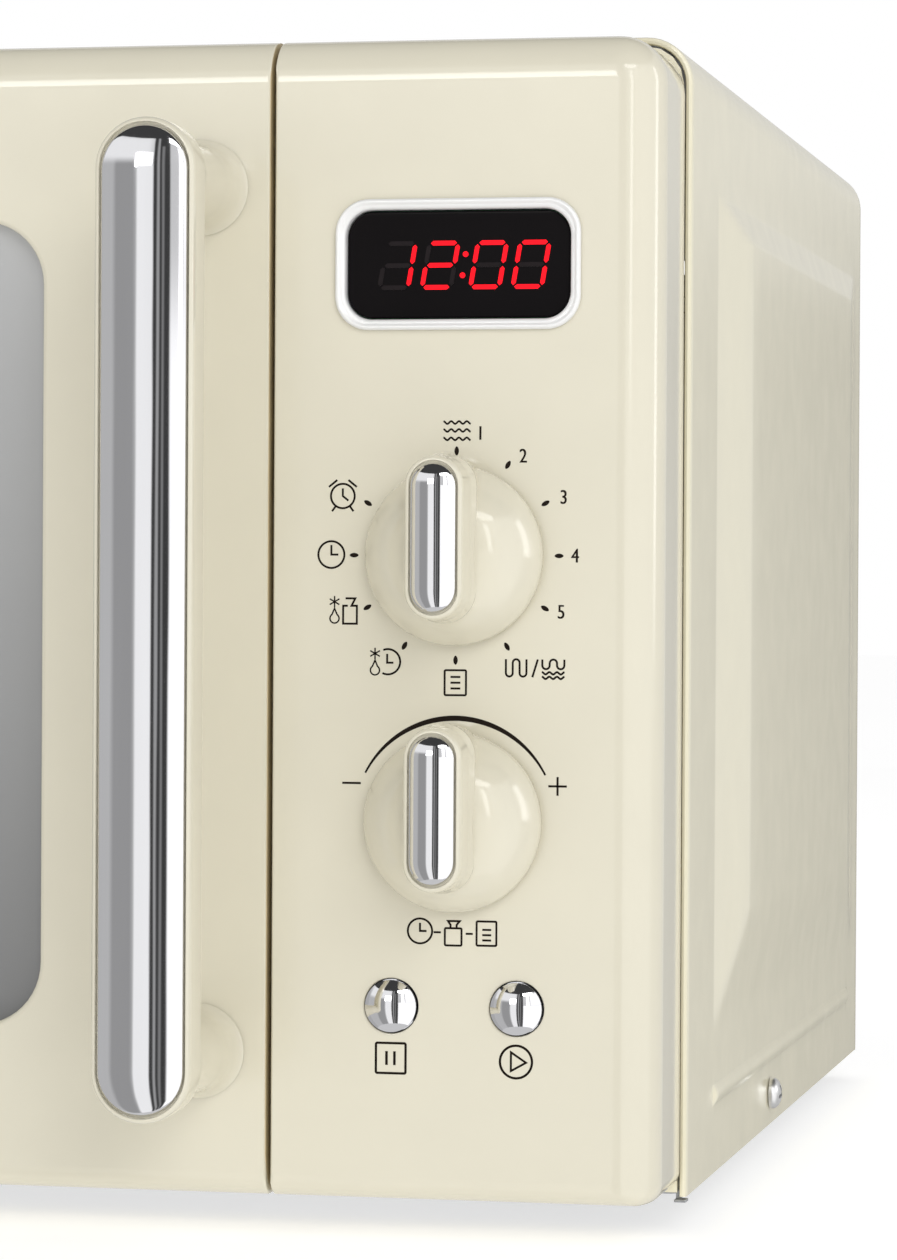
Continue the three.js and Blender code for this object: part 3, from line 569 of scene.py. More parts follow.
# ---- printed marks ----
@dataclass
class Marks:
    """Thin printed strokes and figures on the front of the column, gathered into one piece."""

    depth: float = -0.03
    thickness: float = 0.05
    weight: float = 0.43
    ink: Shell = field(default_factory=Shell)
    figures: list[bpy.types.Object] = field(default_factory=list)

    def stroke(self, path: Sequence[Sequence[float]] | np.ndarray, weight: float | np.ndarray | None = None,
               closed: bool = False) -> None:
        """Ribbon along a flat path, with mitred corners.

        Args:
            path: points (k, 2) in x and z.
            weight: its width, one number or one per point.
            closed: whether it returns to its start.
        """
        line = np.array(path, float)
        ahead = np.roll(line, -1, 0) - line
        behind = line - np.roll(line, 1, 0)
        if not closed:
            ahead[-1], behind[0] = behind[-1], ahead[0]
        normals = [np.stack([-v[:, 1], v[:, 0]], 1) / np.linalg.norm(v, axis=1)[:, None] for v in (ahead,
                                                                                                   behind)]
        mitre = (normals[0] + normals[1]) / (1 + np.sum(normals[0] * normals[1], 1))[:, None].clip(0.3)
        half = np.broadcast_to(self.weight if weight is None else weight, len(line))[:, None] / 2
        flat = np.stack([line + mitre * half, line - mitre * half, line - mitre * half,
                         line + mitre * half], 1)
        depth = np.array([self.depth, self.depth, self.depth + self.thickness, self.depth + self.thickness])
        rows = self.ink.add(place(flat, depth, Plane.FRONT))
        self.ink.quads(rows, round_u=closed)
        if not closed:
            self.ink.faces += [rows[0].tolist(), rows[-1].tolist()]

    def arc(self, x: float, z: float, radius: float, start: float = 0, end: float = 360,
            weight: float | None = None) -> None:
        """Stroke round a centre from one angle to another, in degrees against the clock from +x."""
        whole = abs(end - start) >= 360
        angle = np.radians(np.linspace(start, end, 41)[: 40 if whole else 41])
        path = np.stack([x + radius * np.cos(angle), z + radius * np.sin(angle)], 1)
        self.stroke(path, weight, closed=whole)

    def frame(self, x0: float, x1: float, z0: float, z1: float, radius: float = 0.25,
              weight: float | None = None) -> None:
        """Rounded rectangular outline."""
        self.stroke(rounded(x0, x1, z0, z1, radius, 4), weight, closed=True)

    def wave(self, x0: float, x1: float, z: float, height: float = 0.28, periods: float = 2.0,
             weight: float | None = None) -> None:
        """Sine stroke from x0 to x1."""
        x = np.linspace(x0, x1, 33)
        z_line = z + height * np.cos(2 * np.pi * periods * (x - x0) / (x1 - x0))
        self.stroke(np.stack([x, z_line], 1), weight)

    def leaf(self, x: float, z: float, angle: float, length: float = 1.95, width: float = 0.95) -> None:
        """Pointed oval, its length turned to an angle in degrees."""
        t = np.linspace(0.02, 0.98, 13)
        along = (t - 0.5) * length
        turn = np.array([math.cos(math.radians(angle)), math.sin(math.radians(angle))])
        self.stroke(np.array([x, z]) + along[:, None] * turn, width * np.sin(np.pi * t) ** 0.6)

    def write(self, text: str, x: float, z: float, size: float = 4.15, squeeze: float = 0.82) -> None:
        """Plain figures standing on (x, z), laid down twice a little apart to embolden them."""
        curve = bpy.data.curves.new("figures", "FONT")
        curve.body, curve.size, curve.extrude = text, size, self.thickness / 2
        curve.resolution_u = 4
        written = bpy.data.objects.new("figures", curve)
        bpy.context.scene.collection.objects.link(written)
        bpy.context.view_layer.update()
        mesh = bpy.data.meshes.new_from_object(written.evaluated_get(bpy.context.evaluated_depsgraph_get()))
        bpy.data.objects.remove(written)
        upright = Matrix.Rotation(math.pi / 2, 4, "X") @ Matrix.Diagonal((MM * squeeze, MM, MM, 1))
        for shift in (0.0, 0.12):
            copy = mesh.copy()
            spot = Vector((x + shift, FRONT_Y + self.depth + self.thickness / 2 + shift / 20, z)) * MM
            copy.transform(Matrix.Translation(spot) @ upright)
            self.figures.append(bpy.data.objects.new("figures", copy))

    def object(self, name: str) -> bpy.types.Object:
        """Joins strokes and figures into one piece."""
        made = self.ink.object(name)
        work = bmesh.new()
        work.from_mesh(made.data)
        for written in self.figures:
            work.from_mesh(written.data)
            bpy.data.objects.remove(written)
        bmesh.ops.recalc_face_normals(work, faces=work.faces)
        work.to_mesh(made.data)
        work.free()
        return made


# ---- case ----
@dataclass
class Cover:
    """Folded steel cover: a top and two sides with a pressed panel each, hemmed along the front edge."""

    half: float = 217.5
    top: float = 256.0
    foot: float = 8.0
    front: float = 33.0
    rear: float = 350.0
    corner: float = 10.0
    rise: float = 2.5
    panel_y: tuple[float, float] = (72.0, 334.0)
    panel_z: tuple[float, float] = (41.0, 226.0)
    slopes: tuple[float, float, float, float] = (41.0, 28.0, 24.0, 9.0)
    bead: tuple[float, float, float, float] = (70.0, 326.0, 25.4, 5.0)

    @staticmethod
    def _ramp(distance: np.ndarray, width: float) -> np.ndarray:
        """Slope from 0 to 1 over a width, its two ends a little eased: 0.8 t + 0.2 t^2 (3 - 2 t)."""
        t = np.clip(distance / width, 0, 1)
        return 0.8 * t + 0.2 * t * t * (3 - 2 * t)

    def relief(self, y: np.ndarray, z: np.ndarray) -> np.ndarray:
        """How far the side stands out at (y, z): the pressed panel, and the long bead under it.

        Args:
            y: distance back from the front plane.
            z: height.

        Returns:
            Millimetres outward. The panel is the least of its four slopes; the bead is a half sine.
        """
        (y0, y1), (z0, z1) = self.panel_y, self.panel_z
        front, rear, foot, head = self.slopes
        panel = self.rise * np.minimum.reduce([self._ramp(y - y0, front), self._ramp(y1 - y, rear),
                                               self._ramp(z - z0, foot), self._ramp(z1 - z, head)])
        b0, b1, level, width = self.bead
        along = np.minimum(self._ramp(y - b0, 3), self._ramp(b1 - y, 3))
        across = np.cos(np.clip((z - level) / width, -0.5, 0.5) * np.pi)
        return panel + 0.9 * along * across

    def _profile(self) -> tuple[np.ndarray, np.ndarray, np.ndarray]:
        """The folded sheet seen from the front: points, outward normals, and the side each belongs to."""
        (z0, z1), (_, _, foot, head) = self.panel_z, self.slopes
        heights = np.concatenate([[self.foot, 14, 19.9, 20.1], np.linspace(22.9, 27.9, 9), [33.9, 34.1, 38],
                                  np.linspace(z0, z0 + foot, 9), np.linspace(z0 + foot, z1 - head, 20)[1:],
                                  np.linspace(z1 - head, z1, 7)[1:], [232, 240]])
        angle = np.radians(np.linspace(0, 90, 11))
        centre = (self.half - self.corner, self.top - self.corner)
        right = np.stack([np.full(len(heights), self.half), heights], 1)
        turn = np.stack([np.cos(angle), np.sin(angle)], 1)
        arc = np.array(centre) + self.corner * turn
        roof = np.stack([np.linspace(centre[0], -centre[0], 18)[1:-1], np.full(16, self.top)], 1)
        half = np.concatenate([right, arc])
        normal = np.concatenate([np.tile([1.0, 0.0], (len(heights), 1)), turn])
        flip = np.array([-1, 1])
        points = np.concatenate([half, roof, half[::-1] * flip])
        normals = np.concatenate([normal, np.tile([0.0, 1.0], (16, 1)), normal[::-1] * flip])
        side = np.zeros(len(points))
        side[:len(heights)], side[-len(heights):] = 1, -1
        return points, normals, side

    def _levels(self) -> np.ndarray:
        """(y, inset) once round the sheet's section: outer skin, rear flange, inner skin and front hem."""
        (y0, y1), (front, rear, _, _) = self.panel_y, self.slopes
        b0, b1, _, _ = self.bead
        slots = (250 + 9 * np.arange(8)[:, None] + [0, 4]).ravel()
        stations = np.concatenate([[36, 48, 60], np.linspace(b0, b0 + 3, 4), np.linspace(y0, y0 + front, 14),
                                   np.linspace(y0 + front, y1 - rear, 16), slots, np.linspace(y1 - rear, y1,
                                                                                              11),
                                   np.linspace(b1 - 3, b1, 4), [340, 346]])
        outer = np.unique(stations.round(3))
        skin = np.stack([outer, np.zeros(len(outer))], 1)
        fold = [(self.rear - 1.2, 0), (self.rear - 0.35, 0.35), (self.rear, 1.2), (self.rear, 15),
                (self.rear - 1, 15), (self.rear - 1, 2.2), (self.rear - 2.2, 1)]
        inner = np.stack([outer[::-1], np.ones(len(outer))], 1)
        hem = [(self.front + 2.2, 1), (self.front + 2.1, 1.6), (self.front + 0.8, 1.6),
               (self.front + 0.2, 1.35), (self.front, 0.8), (self.front + 0.2, 0.25), (self.front + 0.8, 0)]
        return np.concatenate([skin, fold, inner, hem])

    def build(self) -> bpy.types.Object:
        """Makes the cover and cuts the air slots in its left side."""
        points, normals, side = self._profile()
        y, inset = self._levels().T
        flat = points[:, None] - normals[:, None] * inset[None, :, None]
        flat[..., 0] = np.clip(flat[..., 0], inset - self.half, self.half - inset)
        flat[..., 1] = np.minimum(flat[..., 1], self.top - inset)
        out = side[:, None] * self.relief(*np.broadcast_arrays(y[None, :], points[:, 1:2]))
        grid = np.stack([flat[..., 0] + out, np.broadcast_to(y, out.shape), flat[..., 1]], -1)
        shell = Shell()
        rows = shell.add(grid)
        shell.quads(rows)
        for row in (rows[0], rows[-1]):
            half = len(row) // 2
            shell.faces += [[int(row[k]), int(row[k + 1]), int(row[-k - 2]), int(row[-k - 1])]
                            for k in range(half - 1)]
        made = shell.object("cover")
        slots = Shell()
        for k in range(8):
            slots.block((-self.half - 4, 250 + 9 * k, 20), (-self.half + 4, 254 + 9 * k, 34), 0.8)
        return smooth(carve(made, slots.object("slots")), 30)


@dataclass
class Screw:
    """Domed cross-recess screw; its head stands out along an axis of the oven."""

    radius: float = 3.75
    height: float = 3.1
    shank: float = 1.7
    length: float = 6.0
    recess: float = 2.2

    def build(self, name: str, spot: Sequence[float], outward: Sequence[float]) -> bpy.types.Object:
        """Makes the screw at a spot, its head pointing outward."""
        angle = np.radians(np.linspace(0, 78, 10))
        dome = [(self.radius * math.cos(a), 0.9 + (self.height - 0.9) * math.sin(a)) for a in angle]
        profile = [(0, -self.length), (self.shank, -self.length), (self.shank, 0.3), (self.radius, 0.3),
                   *dome, (0, self.height)]
        shell = Shell()
        shell.turned(profile, Axis.Z, steps=36)
        turn = Vector((0, 0, 1)).rotation_difference(Vector(outward)).to_matrix().to_4x4()
        stand = Matrix.Translation(spot) @ turn
        shell.turn(0, stand)
        cutters = []
        for angle in (20, 110):
            slot = Shell()
            slot.block((-self.recess, -0.45, self.height - 1.4), (self.recess, 0.45, self.height + 2), 0.15)
            slot.turn(0, stand @ Matrix.Rotation(math.radians(angle), 4, "Z"))
            cutters.append(slot.object("recess"))
        return smooth(carve(shell.object(name), *cutters), 40)


# ---- door ----
@dataclass
class Front:
    """The rounded front that the door and the control column share."""

    x0: float = -217.0
    x1: float = 216.1
    z0: float = 9.6
    z1: float = 253.2
    depth: float = 32.0
    corner: float = 10.0
    edge: float = 9.2
    low_corner: float = 4.0
    low_edge: float = 5.0
    split_door: float = 133.0
    split_column: float = 134.0

    def _outline(self, x0: float, x1: float, inset: float, under: float | None, joint: str) -> np.ndarray:
        """Outline between two sides, with small corners below and none beside the joint."""
        low = inset if under is None else under
        upper, lower, crisp = max(self.corner - inset, 0.8), max(self.low_corner - low / 2, 1.2), 0.5
        radii = (crisp, crisp, upper, lower) if joint == "right" else (lower, upper, crisp, crisp)
        return rounded(x0, x1, self.z0 + low, self.z1 - inset, radii, 8)

    def door(self, inset: float, joint: float = 0.0, rear: float = 0.0,
             under: float | None = None) -> np.ndarray:
        """The door's outline.

        Args:
            inset: how far its left and upper sides stand in.
            joint: how far the side next to the column stands in.
            rear: extra inset of the hinge side, where it rounds to swing past the case.
            under: how far the lower side stands in, if not by inset.

        Returns:
            The outline's points.
        """
        return self._outline(self.x0 + inset + rear, self.split_door - joint, inset, under, "right")

    def column(self, inset: float, joint: float = 0.0, rear: float = 0.0,
               under: float | None = None) -> np.ndarray:
        """The control column's outline, with the same arguments as the door's."""
        return self._outline(self.split_column + joint, self.x1 - inset - rear, inset, under, "left")

    def edge_levels(self, steps: int = 12) -> list[tuple[float, ...]]:
        """Levels of the rounded edge; the lower edge has a smaller radius of its own.

        Args:
            steps: spans in the quarter round.

        Returns:
            (depth, inset, joint, rear, under), under = r - sqrt(r^2 - (r - depth)^2) down to the radius r.
        """
        r = self.low_edge
        return [(d, i, 0.5 * max(1 - d / 0.5, 0), 0.0, r - math.sqrt(r * r - max(r - d, 0) ** 2))
                for d, i in fillet(self.edge, steps)]


@dataclass
class Door:
    """The door: moulding, tinted pane with painted reflection and painted shade, perforated steel inner
    panel, black choke cover and latch.
    """

    front: Front
    window: tuple[float, float, float, float] = (-179.0, 83.3, 44.4, 215.4)
    corner: float = 13.5
    wall: float = 3.0

    def _opening(self, grow: float = 0.0) -> np.ndarray:
        """The window's outline, grown on every side."""
        x0, x1, z0, z1 = self.window
        return rounded(x0 - grow, x1 + grow, z0 - grow, z1 + grow, self.corner + grow, 12)

    def moulding(self) -> bpy.types.Object:
        """Cream door shell, hollow from behind, with a softened window edge and notches for hinges."""
        f, wall = self.front, self.wall
        swing = [(f.depth - 6 + 6 * math.sin(math.radians(a)), 0, 0, 6 * (1 - math.cos(math.radians(a))))
                 for a in (0, 15, 30, 45, 60, 75)]
        levels = [*f.edge_levels(), *swing, (f.depth, 0.3, 0.3, 5.4), (f.depth, wall, wall, 3.4),
                  (f.depth - 6, wall, wall, 3.4), (wall + 4, wall, wall, 3.4), (wall + 1, wall + 2, wall,
                                                                                3.4),
                  (wall, wall + 5, wall + 1, 3.4)]
        lip = [(d, -i) for d, i in fillet(1.1, 5)] + [(wall, 0)]
        shell = Shell()
        shell.slab(f.door, levels, [(lambda i: self._opening(-i), lip)])
        made = shell.object("door_moulding")
        notches = Shell()
        for z in (240, 22):
            notches.block((-226, 12, z - 1.5), (-203.5, 40, z + 3.5), 0.8)
        return smooth(carve(made, notches.object("notches")), 32)

    def edge_strip(self) -> bpy.types.Object:
        """Door side that shows in the joint beside the control column, tan as painted shade of the joint."""
        f = self.front

        def outline(inset: float) -> np.ndarray:
            return rounded(0.35 + inset, f.depth - 1, f.z0 - 0.03 + inset, f.z1 + 0.03 - inset,
                           (0.5, 0.5, f.edge + 0.1, f.edge + 0.1), 12)

        shell = Shell()
        shell.slab(outline, [(f.split_door - 0.9, 0.12), (f.split_door + 0.04, 0)], plane=Plane.SIDE)
        return smooth(shell.object("door_joint_edge"), 30)

    def pane(self) -> bpy.types.Object:
        """Tinted pane behind the opening; its finish carries painted reflection and painted shade."""
        shell = Shell()
        shell.slab(lambda i: self._opening(6 - i), [(3.3, 0.4), (3.5, 0.1), (3.8, 0), (6.2, 0), (6.5, 0.3)])
        return smooth(shell.object("pane_tint_and_painted_reflection"), 40)

    def inner_panel(self) -> bpy.types.Object:
        """Pressed steel tray with the perforated field behind the pane."""
        x0, x1, z0, z1 = self.window

        def rim(inset: float) -> np.ndarray:
            return rounded(-202 + inset, 112 - inset, 20 + inset, 243 - inset, max(6 - inset, 1), 6)

        def field_edge(inset: float) -> np.ndarray:
            return rounded(x0 - 8 + inset, x1 + 8 - inset, z0 - 8 + inset, z1 + 8 - inset, 10 - inset / 2, 8)

        shell = Shell()
        shell.slab(rim, [(27.4, 2.4), (26.6, 1.3), (19, 1.2), (19, 0), (27.4, 0), (28.3, 0.4), (28.6, 1.2)])
        shell.slab(field_edge, [(22.2, 0.5), (22, 1.0), (22.2, 1.2), (27.6, 1.3), (27.6, 0.1), (22.3, 0)])
        return smooth(shell.object("perforated_inner_panel"), 35)

    def choke_cover(self) -> bpy.types.Object:
        """Black frame that covers the wave trap round the window, seen when the door is open."""
        hooks = [(lambda i, z=z: rounded(118 - i, 125 + i, z - 1 - i, z + 17 + i, 1.5, 4),
                  [(28.9, 0), (31.2, 0), (31.6, 0.4)]) for z in (60, 186)]
        x0, x1, z0, z1 = self.window

        def outline(inset: float) -> np.ndarray:
            return rounded(-203.6 + inset, 129.5 - inset, 13 + inset, 249.8 - inset, 6, 6)

        hole = (lambda i: rounded(x0 - i, x1 + i, z0 - i, z1 + i, 12 + i, 10), [(28.9, 0), (30.2, 0),
                                                                                (31, 0.5), (31.6, 1.8)])
        shell = Shell()
        shell.slab(outline, [(28.9, 0.3), (29.2, 0), (30.4, 0), (31.2, 0.5), (31.6, 1.6)], [hole, *hooks])
        return smooth(shell.object("choke_frame"), 35)

    def latch(self) -> bpy.types.Object:
        """Sliding hook plate with an upper and a lower hook."""
        shell = Shell()
        shell.block((119, 14, 58), (124, 22, 196), 0.8)
        for z in (60, 186):
            shell.block((119.5, 20, z), (123.5, 50, z + 8), 0.7)
            shell.block((119.5, 45, z + 0.1), (123.5, 50, z + 12), 0.7)
        return smooth(shell.object("latch_hooks"), 35)

    def build(self) -> None:
        """Makes every piece of the door but its handle."""
        fit(self.moulding(), CREAM, "door", ["door_frame"])
        # Tan strip in the joint: painted shade.
        fit(self.edge_strip(), JOINT_SHADE, "door")
        # Pane finish: tint with painted reflection, darker toward the foot as painted shade.
        fit(self.pane(), PANE_TINT_AND_REFLECTION, "door", ["door_window"])
        fit(self.inner_panel(), SCREEN, "door", ["door_inner_panel"])
        fit(self.choke_cover(), BLACK, "door", ["choke_cover"])
        fit(self.latch(), BLACK, "latch", ["door_latch"])


@dataclass
class Handle:
    """Upright bar on two flared posts, with a crowned bright inlay."""

    x: float = 118.2
    z: float = 131.0
    width: float = 20.9
    length: float = 202.8
    face: float = -45.0
    back: float = -33.4
    recess: float = -43.8
    inlay_width: float = 18.2
    inlay_length: float = 199.6
    crest: float = -46.9
    radius: float = 21.5

    def bar(self) -> bpy.types.Object:
        """Cream body: rounded bar with a recess for the inlay, on two trumpet-shaped posts."""
        def outline(inset: float) -> np.ndarray:
            return pill(self.x, self.z, self.width - 2 * inset, self.length - 2 * inset)

        levels = [(self.recess, 1.05), (self.face + 0.25, 1.05), (self.face, 0.95), (self.face, 0.75),
                  (self.face + 0.25, 0.4), (self.face + 0.8, 0.12), (self.face + 1.8, 0),
                  (self.back - 3.2, 0),
                  (self.back - 2, 0.35), (self.back - 0.9, 1.1), (self.back - 0.2, 2.2), (self.back, 3.4)]
        shell = Shell()
        shell.slab(outline, levels)
        reach = (self.length - self.width) / 2
        trumpet = [(0, -36), (9.6, -36), (9.6, -33.2), (8.9, -31.6), (8.35, -29), (8.05, -25), (8, -18),
                   (8.05, -10), (8.3, -5.5), (8.8, -2.6), (9.5, -0.9), (10.1, -0.3), (0, -0.3)]
        for side in (-1, 1):
            shell.turned(trumpet, Axis.Y, (self.x, 0, self.z + side * reach), 40)
        return smooth(shell.object("handle_bar"), 42)

    def inlay(self) -> bpy.types.Object:
        """Bright strip crowned across its width: depth = crest + R - sqrt(R^2 - r^2), r off its middle."""
        half = self.inlay_width / 2
        across = np.concatenate([np.linspace(0.04, half - 0.7, 22),
                                 half - 0.7 * (1 - np.sin(np.radians([25, 50, 70, 90])))])
        drop = self.radius - np.sqrt(self.radius ** 2 - across ** 2)
        drop[-4:] += np.array([0.04, 0.16, 0.36, 0.7])
        levels = [(self.crest + d, half - r) for d, r in zip(drop, across, strict=True)]
        levels += [(-44.1, 0.02), (-44.1, 1)]
        shell = Shell()
        shell.slab(lambda i: pill(self.x, self.z, self.inlay_width - 2 * i, self.inlay_length - 2 * i),
                   levels)
        return smooth(shell.object("handle_bright_inlay"), 50)

    def build(self) -> None:
        """Makes the handle."""
        fit(self.bar(), CREAM, "door", ["handle_body"])
        fit(self.inlay(), CHROME, "door", ["handle_inlay"])


# ---- control column ----
@dataclass
class Display:
    """Clock window: satin frame, black lens and lit figures."""

    x: float = 173.4
    z: float = 205.4
    slant: float = 0.17

    def _frame(self, width: float, height: float, radius: float) -> Outline:
        """Outline of a rounded frame by inset."""
        return lambda i: rounded(self.x - width / 2 + i, self.x + width / 2 - i, self.z - height / 2 + i,
                                 self.z + height / 2 - i, max(radius - i, 0.5), 12)

    def bezel(self) -> bpy.types.Object:
        """Satin frame round the lens."""
        shell = Shell()
        rim = [(-0.85, 1.3), (-1.15, 1.0), (-1.3, 0.7), (-1.25, 0.4), (-1.0, 0.12), (-0.6, 0), (-0.3, 0),
               (-0.3, 1.1), (2.9, 1.1)]
        hole = [(-0.85, -0.9), (-0.8, -0.45), (-0.45, -0.1), (0, 0), (2.9, 0)]
        shell.slab(self._frame(52.2, 27.4, 7.2), rim, [(self._frame(47.8, 22.9, 5.6), hole)])
        return smooth(shell.object("clock_frame"), 50)

    def lens(self) -> bpy.types.Object:
        """Black window pane."""
        shell = Shell()
        shell.slab(self._frame(47.2, 22.2, 5.3), [(0.9, 0.3), (1.1, 0), (2.6, 0)])
        return smooth(shell.object("clock_lens"), 40)

    def _bar(self, shell: Shell, start: tuple[float, float], end: tuple[float, float],
             base: tuple[float, float], width: float = 0.95) -> None:
        """Pointed six-sided segment between two points, leaning with the figures."""
        a, b = np.array(start, float), np.array(end, float)
        ahead = (b - a) / np.linalg.norm(b - a)
        across = np.array([-ahead[1], ahead[0]]) * width / 2
        gap = ahead * 0.3
        tip = ahead * width / 2
        outline = np.array([a + gap, a + gap + tip - across, b - gap - tip - across, b - gap,
                            b - gap - tip + across, a + gap + tip + across])
        lean = outline[:, 0] + self.slant * outline[:, 1]
        flat = np.stack([base[0] + lean, base[1] + outline[:, 1]], 1)
        shell.slab(lambda i: flat, [(0.8, 0), (0.86, 0)])

    def figure(self, shell: Shell, segments: str, x: float, width: float = 6.1, height: float = 9.2) -> None:
        """One seven-segment figure; segments are named a to g from the top clockwise, then the middle."""
        h = height / 2
        spots = {"a": ((0, height), (width, height)), "b": ((width, height), (width, h)),
                 "c": ((width, h), (width, 0)),
                 "d": ((width, 0), (0, 0)), "e": ((0, 0), (0, h)), "f": ((0, h), (0, height)),
                 "g": ((0, h), (width, h))}
        for name in segments:
            self._bar(shell, *spots[name], (x, 200.65))

    def figures(self) -> bpy.types.Object:
        """Lit figures and the colon."""
        shell = Shell()
        self.figure(shell, "bc", 156.5)
        self.figure(shell, "abged", 165.6)
        self.figure(shell, "abcdef", 175.9)
        self.figure(shell, "abcdef", 184.9)
        for x, z in ((174.2, 203.1), (174.85, 207.5)):
            shell.slab(lambda i, x=x, z=z: ring(x, z, 0.6, 12), [(0.8, 0), (0.86, 0)])
        return smooth(shell.object("clock_figures"), 30)

    def ghosts(self) -> bpy.types.Object:
        """Unlit segments, faint behind the lens."""
        shell = Shell()
        self.figure(shell, "aged", 156.5)
        self.figure(shell, "cf", 165.6)
        self.figure(shell, "g", 175.9)
        self.figure(shell, "g", 184.9)
        return smooth(shell.object("clock_unlit_segments"), 30)

    def build(self) -> None:
        """Makes the clock window."""
        fit(self.bezel(), BEZEL, "case", ["display_bezel"])
        fit(self.lens(), LENS, "case", ["display_lens"])
        fit(self.figures(), DIGIT, "case")
        fit(self.ghosts(), GHOST, "case")


@dataclass
class Knob:
    """Rotary knob: a low domed skirt with a grip bar across it and a bright inlay, on a steel shaft."""

    name: str
    body: str
    node: str
    z: float
    x: float = 173.35
    radius: float = 18.75
    top: float = 23.6
    width: float = 12.2
    down: float = 13.4
    up: float = 20.2
    inset: float = 1.35
    crown: float = 8.0

    def _grip(self, inset: float) -> np.ndarray:
        """The grip bar's outline."""
        return pill(self.x, self.z + (self.up - self.down) / 2, self.width - 2 * inset,
                    self.up + self.down - 2 * inset, 16)

    def cap(self) -> bpy.types.Object:
        """Cream skirt and grip."""
        skirt = [(0, -0.5), (17.6, -0.5), (18.35, -0.75), (18.7, -1.3), (self.radius, -2.2), (18.7, -3.4),
                 (18.45, -4.2),
                 (17.9, -5.2), (16.9, -7), (15.6, -9), (13.9, -10.9), (11.8, -12.3), (9, -13.4),
                 (5, -14.15), (0, -14.4)]
        shell = Shell()
        shell.turned(skirt, Axis.Y, (self.x, 0, self.z), 72)
        grip = [(-self.top + 0.9, self.inset - 0.3), (-self.top + 0.2, self.inset - 0.3),
                (-self.top, self.inset - 0.45),
                (-self.top, self.inset - 0.7), (-self.top + 0.2, 0.35), (-self.top + 0.7, 0.12),
                (-self.top + 1.6, 0),
                (-16.5, -0.12), (-14.6, -0.3), (-13.4, -0.75), (-12.5, -0.75), (-11, -0.3), (-3, 0), (-3, 1)]
        shell.slab(self._grip, grip)
        return smooth(shell.object(self.name + "_cap"), 40)

    def inlay(self) -> bpy.types.Object:
        """Bright face of the grip, gently crowned."""
        half = self.width / 2 - self.inset
        across = np.concatenate([np.linspace(0.04, half - 0.5, 12),
                                 half - 0.5 * (1 - np.sin(np.radians([35, 65, 90])))])
        drop = self.crown - np.sqrt(self.crown ** 2 - across ** 2)
        drop[-3:] += np.array([0.03, 0.12, 0.4])
        levels = [(-self.top - 1.7 + d, half - r) for d, r in zip(drop, across,
                                                                  strict=True)] + [(-self.top + 0.6, 0)]
        shell = Shell()
        shell.slab(lambda i: pill(self.x, self.z + (self.up - self.down) / 2, 2 * (half - i),
                                  self.up + self.down - 2.4 * self.inset - 2 * i, 16), levels)
        return smooth(shell.object(self.name + "_bright_inlay"), 50)

    def shaft(self) -> bpy.types.Object:
        """Steel shaft that the knob is pushed onto."""
        shell = Shell()
        shell.turned([(0, -16), (2.6, -16), (3, -15.6), (3, 15.1), (2.6, 15.5), (0, 15.5)], Axis.Y,
                     (self.x, 0, self.z), 32)
        return smooth(shell.object(self.name + "_spindle"), 40)

    def build(self) -> None:
        """Makes the knob."""
        fit(self.cap(), CREAM, self.body, [f"{self.node}_knob"])
        fit(self.inlay(), CHROME, self.body, [f"{self.node}_inlay"])
        fit(self.shaft(), SATIN, self.body, [f"{self.node}_shaft"])


